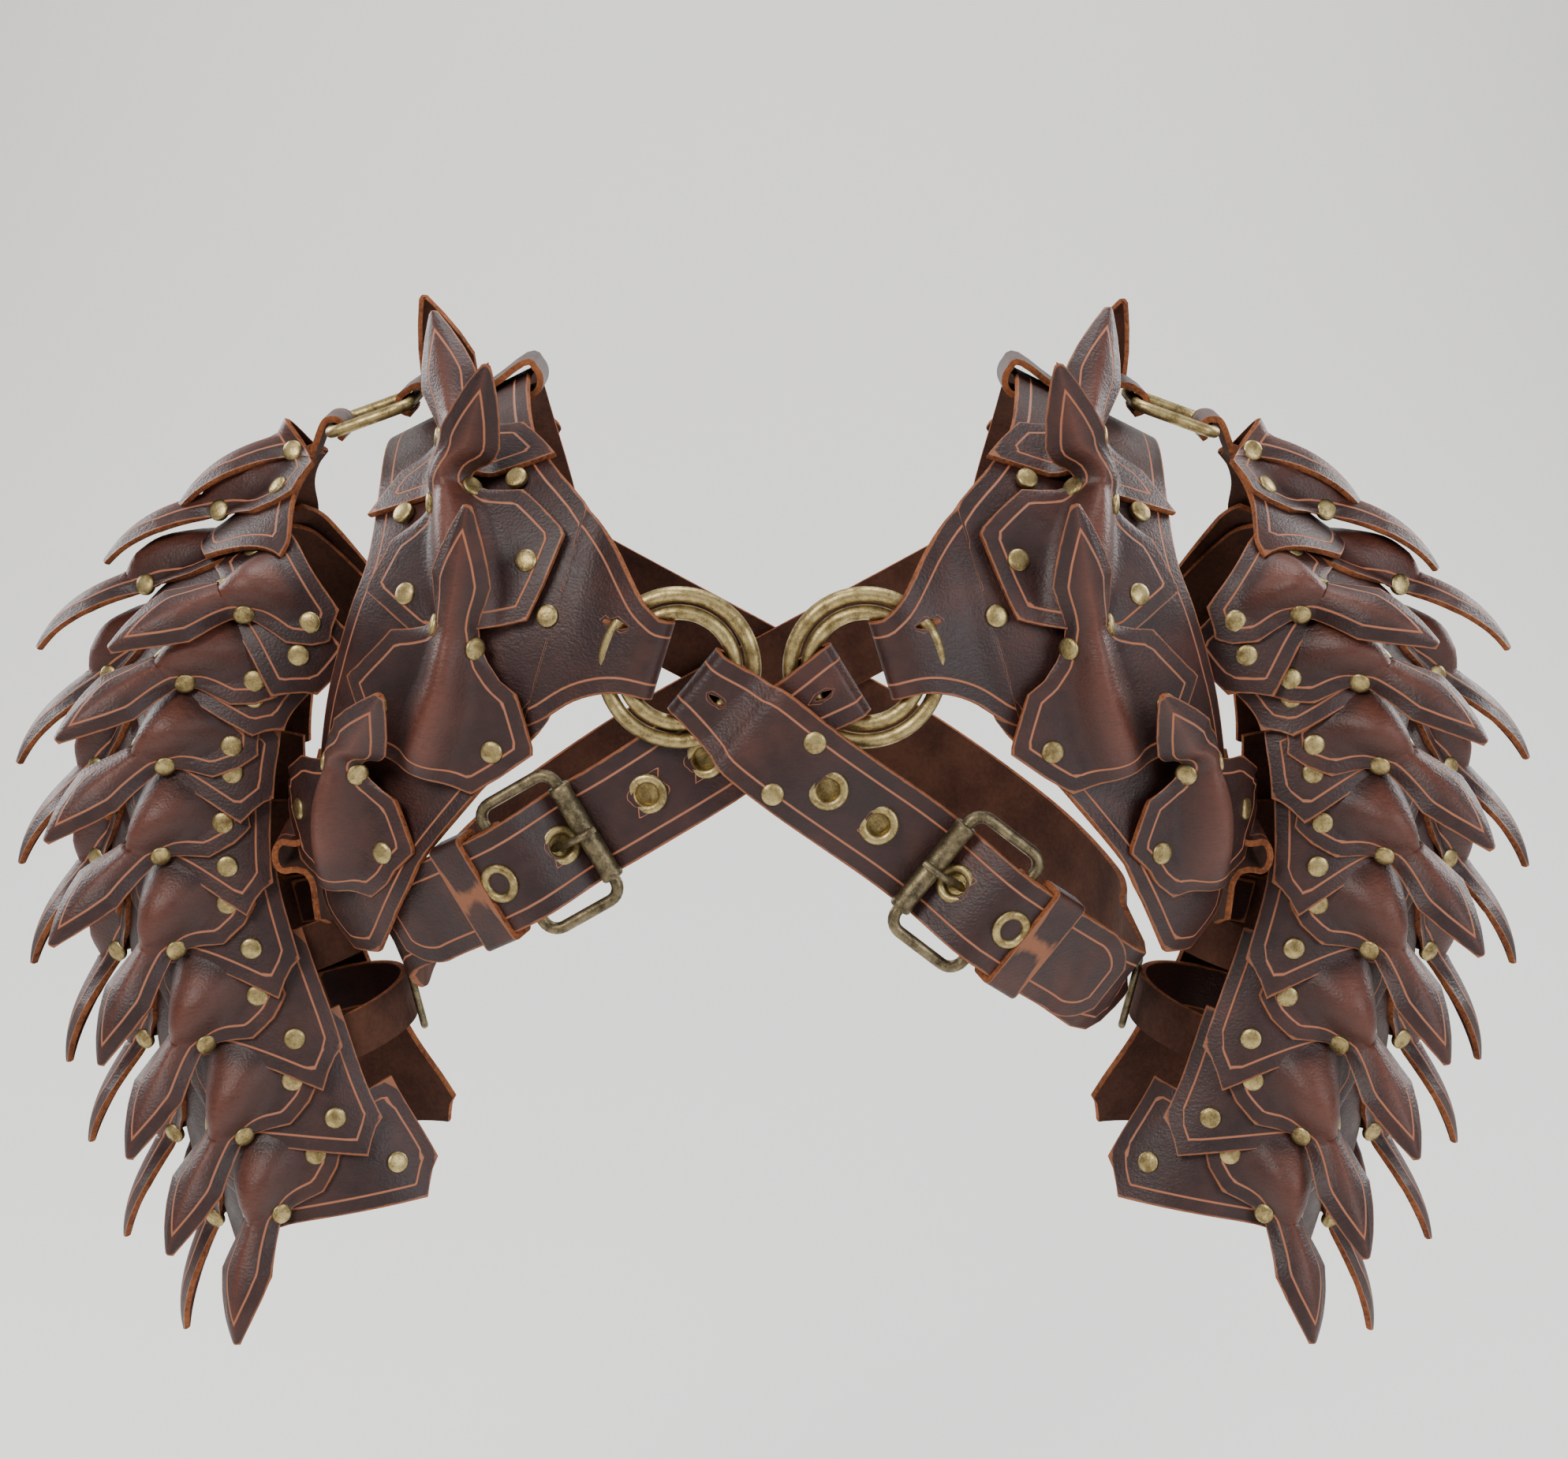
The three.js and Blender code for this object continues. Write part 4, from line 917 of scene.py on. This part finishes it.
for hand in (1, -1):
    strapRun = StrapRun(hand)
    crossStrap(strapRun)
    strapBuckle(strapRun)
    strapKeeper(strapRun)
    sideBand(strapRun)
print("cross straps and buckles made")

# shoulder strap and buckle
shoulderStrap = {"half": 17, "loopX": 101, "bend": 7, "loopUp": 1, "endX": 142, "under": 3.2, "toBar": 8}
shoulderBuckle = {"x": 147, "z": -6, "length": 34, "slope": 20, "half": 25, "wire": 2.4, "corner": 6}
slope = math.radians(shoulderBuckle["slope"])
barRun = vec(math.cos(slope), 0, -math.sin(slope))
barUp = vec(math.sin(slope), 0, math.cos(slope))
sideways = vec(0, 1, 0)
barAt = vec(shoulderBuckle["x"], 0, shoulderBuckle["z"])
barBend = shoulderBuckle["wire"] + 2 * gap + leather / 2


def shoulderFittings(hand):
    piece = Piece()
    path = framePath(barAt, barRun, sideways, shoulderBuckle)
    piece.tube(wireRings(path, shoulderBuckle["wire"], barUp), closed=True)
    piece.build("shoulder buckle", hand, brassWork)
    above, below = panel["face"] + gap + leather / 2, -leather / 2 - gap - shoulderStrap["under"]

    def rise(x, h):
        return vec(x, 0, ridgeHeight(x) + h)

    loopX, loop, endX = shoulderStrap["loopX"], shoulderStrap["bend"], shoulderStrap["endX"]
    middle, halfway = ridgeHeight(loopX) + shoulderStrap["loopUp"], mix(loopX, endX, 0.5)
    path = [rise(endX, below), rise(halfway, below)]
    path += [vec(loopX + loop * math.cos(t), 0, middle + loop * math.sin(t))
             for t in turns(-90, -138, -180, -222, -270)]
    path += [rise(halfway, above), barAt + barUp * barBend - barRun * shoulderStrap["toBar"]]
    path += [barAt + barBend * (barUp * math.sin(t) + barRun * math.cos(t)) for t in turns(90, 35, -20, -75)]
    band = Piece()
    strapSheet(band, [(p, sideways, shoulderStrap["half"]) for p in path], scored=False)
    band.build("shoulder strap", hand, strapWork)


for hand in (1, -1):
    shoulderFittings(hand)
print("shoulder straps made")

# arm guard
arm = {
    "radius": 58, "pitch": 38, "skewReach": 60, "lames": 8, "first": 3, "seat": 2.2,
    "scaleFrom": 8, "bow": 6.0, "baseRivet": (27, 23), "endRivet": (5, 0.6),
    # row, out, up, tilt, rise, spread, lift, side lift, fan, lap
    "rows": [(1, 198.5, -26, 49, 4, 50, 5, 5, 8, 7.1), (2, 225, -56, 45, 17, 54, 5, 5, 8, 7.1),
             (3, 256, -87, 34, 28, 57, 7, 6, 10, 7.5), (4, 271, -124, 16, 27, 57, 15, 12, 16, 7.2),
             (5, 277, -162, 6, 23, 57, 19, 18, 23, 6.6), (6, 278, -200, -4, 18, 57, 20, 20, 23, 6.2),
             (7, 271, -239, -12, 12, 57, 25, 21, 26, 5.8), (8, 261, -277, -16, 8, 58, 29, 25, 29, 6.6),
             (9, 250, -318, -20, 6, 62, 32, 24, 27, 5.6), (10, 234, -356, -26, 6, 62, 28, 18, 20, 5.4)],
    "top": -0.85, "edge": [(0, 0.20), (13, 0.24), (28, 0.62), (44, 0.24), (66, 0.24)],
    "points": [(95, 0.55), (95, 0.35), (95, 0.6), (95, 0.8), (98, 0.8), (104, 0.88), (110, 0.85),
               (125, 0.75)],
    "corner": (12, -0.35), "columns": 57,
    "steps": [0, 0.14, 0.28, 0.42, 0.55, 0.67, 0.77, 0.85, 0.91, 0.96, 1],
}
cap = {"rows": [(0.85, 17), (1.3, 34), (1.8, 52), (2.12, 57)], "edge": [(0, 0.25), (30, 0.55), (60, 0.1)],
       "steps": 15, "columns": 33, "shapeFrom": 0.55, "spikeFrom": 46,
       "tongue": 14, "tongueRows": (0.85, 0.97), "facingRow": 1.5, "facingReach": 50}
armStraps = {"upper": {"row": 7.45, "half": 9.5, "inset": 10.1},
             "lower": {"row": 8.55, "half": 9.5, "inset": 9.0}}
armStrapEnds = (96, 264)
armBuckle = {"angle": 168, "half": 13.1, "length": 20, "wire": 1.6, "corner": 3, "lift": 2.5}


def armPoint(row, angle, height):
    reach = min(abs(angle) / arm["skewReach"], 1)
    row -= curveAt(arm["rows"], 4, row) / arm["pitch"] * ease(reach)
    out, up, tilt = (curveAt(arm["rows"], k, row) for k in (1, 2, 3))
    radial = vec(math.cos(math.radians(tilt)), 0, math.sin(math.radians(tilt)))
    turn = math.radians(angle)
    reachOut = vec(out, 0, up) - radial * arm["radius"] + radial * (arm["radius"] + height) * math.cos(turn)
    reachOut[1] = (arm["radius"] + height) * math.sin(turn)
    return reachOut


def armScale(piece, hand, row, angle, fan, lift, start=arm["scaleFrom"], plateRow=None):
    plateRow = plateRow or row
    lap = arm["rows"][plateRow - 1][9]
    fan = math.radians(fan + rng.normal(0, 1.2))

    def place(a, b, h):
        run = a - die["neck"]
        pitch = (run * math.cos(fan) - b * math.sin(fan)) / arm["pitch"]
        turn = math.degrees((run * math.sin(fan) + b * math.cos(fan)) / arm["radius"])
        return armPoint(row + pitch, angle + turn, arm["seat"] + lap * (row + pitch - plateRow) + h)

    base = arm["baseRivet"] if start < arm["baseRivet"][0] else None
    scaleSheet(piece, hand, place, lift + rng.normal(0, 1.5), start, rng.normal(0, 2),
               cut="arm", bow=arm["bow"], baseRivet=base)


def archAt(edge, angle):
    # pointed arches: each part rises steeply towards its point
    angles = [row[0] for row in edge]
    i = min(max(bisect.bisect_right(angles, angle) - 1, 0), len(edge) - 2)
    t = min(max((angle - angles[i]) / (angles[i + 1] - angles[i]), 0), 1)
    a, b = edge[i][1], edge[i + 1][1]
    bow = t ** 1.5 if b > a else 1 - (1 - t) ** 1.5
    return mix(a, b, bow if abs(b - a) > 0.1 else t)


def outwardFacing(angles, row, count):
    line = [armPoint(row, angle, 1) - armPoint(row, angle, 0) for angle in angles]
    return np.array([line] * count)


def armLame(hand, row):
    spread, lift, sideLift, fan, lap = arm["rows"][row - 1][5:]
    end = arm["points"][row - arm["first"]]
    edge = arm["edge"] + [end, (end[0] + arm["corner"][0], end[1] + arm["corner"][1])]
    last = edge[-1][0]
    angles = sorted({*np.linspace(-last, last, arm["columns"]), *(s * a for a, r in edge for s in (-1, 1))})
    grid = []
    for t in arm["steps"]:
        line = []
        for angle in angles:
            pitch = mix(arm["top"], archAt(edge, abs(angle)), t)
            line.append(armPoint(row + pitch, angle, lap * pitch))
        grid.append(line)
    piece = Piece()
    piece.sheet(grid, outwardFacing(angles, row, len(grid)), leather)
    armScale(piece, hand, row, 0, 0, lift)
    armScale(piece, hand, row, -spread, fan, sideLift)
    armScale(piece, hand, row, spread, -fan, sideLift)
    for side in (-1, 1):
        at, down = side * (end[0] - arm["endRivet"][0]), end[1] - arm["endRivet"][1]
        rivetOn(hand, armPoint, row + down, at, lap * down)
    piece.build("arm lame %d" % (row - arm["first"] + 1), hand, plateWork)


def shoulderCap(hand):
    lap, reachTo = arm["rows"][1][9], cap["edge"][-1][0]
    topRow, lowRow = cap["rows"][0][0], cap["rows"][-1][0]
    shares = sorted({*np.linspace(-1, 1, cap["columns"]), -0.5, 0.5})
    grid = []
    for s in np.linspace(0, 1, cap["steps"]):
        row = mix(topRow, lowRow, s)
        half = curveAt(cap["rows"], 1, row)
        shaped = ease((s - cap["shapeFrom"]) / (1 - cap["shapeFrom"]))
        line = []
        for share in shares:
            low = row + (2 + archAt(cap["edge"], abs(share) * reachTo) - lowRow) * shaped
            line.append(armPoint(low, share * half, lap * (low - 2)))
        grid.append(line)
    piece = Piece()
    facing = outwardFacing([share * cap["facingReach"] for share in shares], cap["facingRow"], cap["steps"])
    piece.sheet(grid, facing, leather)
    bar = barAt + barRun * shoulderBuckle["length"]
    tongue = [bar + barBend * (barUp * math.sin(t) - barRun * math.cos(t))
              for t in turns(-75, -20, 35, 90, 140)]
    tongue += [armPoint(row, 0, lap * (row - 2) - leather / 2) for row in cap["tongueRows"]]
    strapSheet(piece, [(p, sideways, cap["tongue"]) for p in tongue])
    armScale(piece, hand, 1, 0, 0, arm["rows"][0][6], cap["spikeFrom"], plateRow=2)
    armScale(piece, hand, 2, 0, 0, arm["rows"][1][6])
    piece.build("shoulder cap", hand, plateWork)


def armStrapPair(hand):
    for name, spec in armStraps.items():
        sections = []
        for angle in np.linspace(*armStrapEnds, 15):
            at = armPoint(spec["row"], angle, -spec["inset"])
            sections.append((at, unit(armPoint(spec["row"] + 0.2, angle, -spec["inset"]) - at), spec["half"]))
        piece = Piece()
        strapSheet(piece, sections, 3, 9, scored=False)
        piece.build("arm strap " + name, hand, strapWork)


def armStrapBuckle(hand):
    spec = armStraps["lower"]
    height = armBuckle["lift"] - spec["inset"]
    at = armPoint(spec["row"], armBuckle["angle"], height)
    run = unit(armPoint(spec["row"], armBuckle["angle"] + 4, height) - at)
    side = armPoint(spec["row"] + 0.2, armBuckle["angle"], height) - at
    side = unit(side - run * np.dot(side, run))
    piece = Piece()
    path = framePath(at, run, side, armBuckle)
    piece.tube(wireRings(path, armBuckle["wire"], np.cross(run, side), 12), closed=True)
    piece.build("arm strap buckle", hand, blackenedWork)


for hand in (1, -1):
    shoulderCap(hand)
    for row in range(arm["first"], arm["first"] + arm["lames"]):
        armLame(hand, row)
    armStrapPair(hand)
    armStrapBuckle(hand)
    rivets[hand].build("rivets", hand, brassWork, node="")
print("arm guards made")

# floor, light and camera
stage = {"floor": -0.72, "size": 9.0, "back": 1.9, "sweep": 1.0, "wall": 6.0, "tone": (0.80, 0.79, 0.77, 1)}


def studioFloor():
    # a flat floor that sweeps up behind the object
    size, low, sweep = stage["size"], stage["floor"], stage["sweep"]
    foot = stage["back"] - sweep
    profile = [(-size, low), (foot, low)]
    profile += [(foot + sweep * math.sin(t), low + sweep * (1 - math.cos(t)))
                for t in np.linspace(0.1, math.pi / 2, 14)]
    profile.append((stage["back"], low + stage["wall"]))
    mesh = bpy.data.meshes.new("floor")
    mesh.from_pydata([(x, y, z) for y, z in profile for x in (-size, size)], [],
                     [(2 * i, 2 * i + 1, 2 * i + 3, 2 * i + 2) for i in range(len(profile) - 1)])
    for face in mesh.polygons:
        face.use_smooth = True
    mesh.materials.append(Finish("floor paint").shade({"Base Color": stage["tone"], "Roughness": 0.9}))
    floor = bpy.data.objects.new("floor", mesh)
    bpy.context.scene.collection.objects.link(floor)


def softLight(name, at, aim, size, power, tint=(1, 1, 1)):
    lamp = bpy.data.lights.new(name, "AREA")
    lamp.shape, lamp.size, lamp.energy, lamp.color = "DISK", size, power, tint
    made = bpy.data.objects.new(name, lamp)
    made.location = at
    made.rotation_euler = (Vector(aim) - Vector(at)).to_track_quat("-Z", "Y").to_euler()
    bpy.context.scene.collection.objects.link(made)


studioFloor()
softLight("key", (-1.1, -1.9, 1.3), (0, 0, -0.15), 1.0, 50, (1, 0.96, 0.92))
softLight("fill", (1.6, -1.5, 0.5), (0, 0, -0.15), 1.3, 26, (0.94, 0.97, 1))
softLight("top", (0.1, 0.3, 1.7), (0, 0, -0.1), 1.2, 30)
softLight("edge", (-1.3, 0.8, 0.4), (0, 0, -0.15), 0.9, 22)
softLight("edge right", (1.3, 0.8, 0.4), (0, 0, -0.15), 0.9, 22)
sky = {"Color": (0.80, 0.82, 0.85, 1), "Strength": 0.42}
world = bpy.data.worlds.new("studio")
bpy.context.scene.world = world
world.use_nodes = True
for key, value in sky.items():
    world.node_tree.nodes["Background"].inputs[key].default_value = value

view = {"aim": (0.0046, 0.0, -0.145), "distance": 1.45, "raise": 12, "lens": 79.57}
lens = bpy.data.cameras.new("view")
lens.lens, lens.sensor_width = view["lens"], 36
camera = bpy.data.objects.new("view", lens)
raised = math.radians(view["raise"])
camera.location = Vector(view["aim"]) + view["distance"] * Vector((0, -math.cos(raised), math.sin(raised)))
camera.rotation_euler = (Vector(view["aim"]) - camera.location).to_track_quat("-Z", "Y").to_euler()
bpy.context.scene.collection.objects.link(camera)
bpy.context.scene.camera = camera
print("stage set")

bpy.context.view_layer.update()
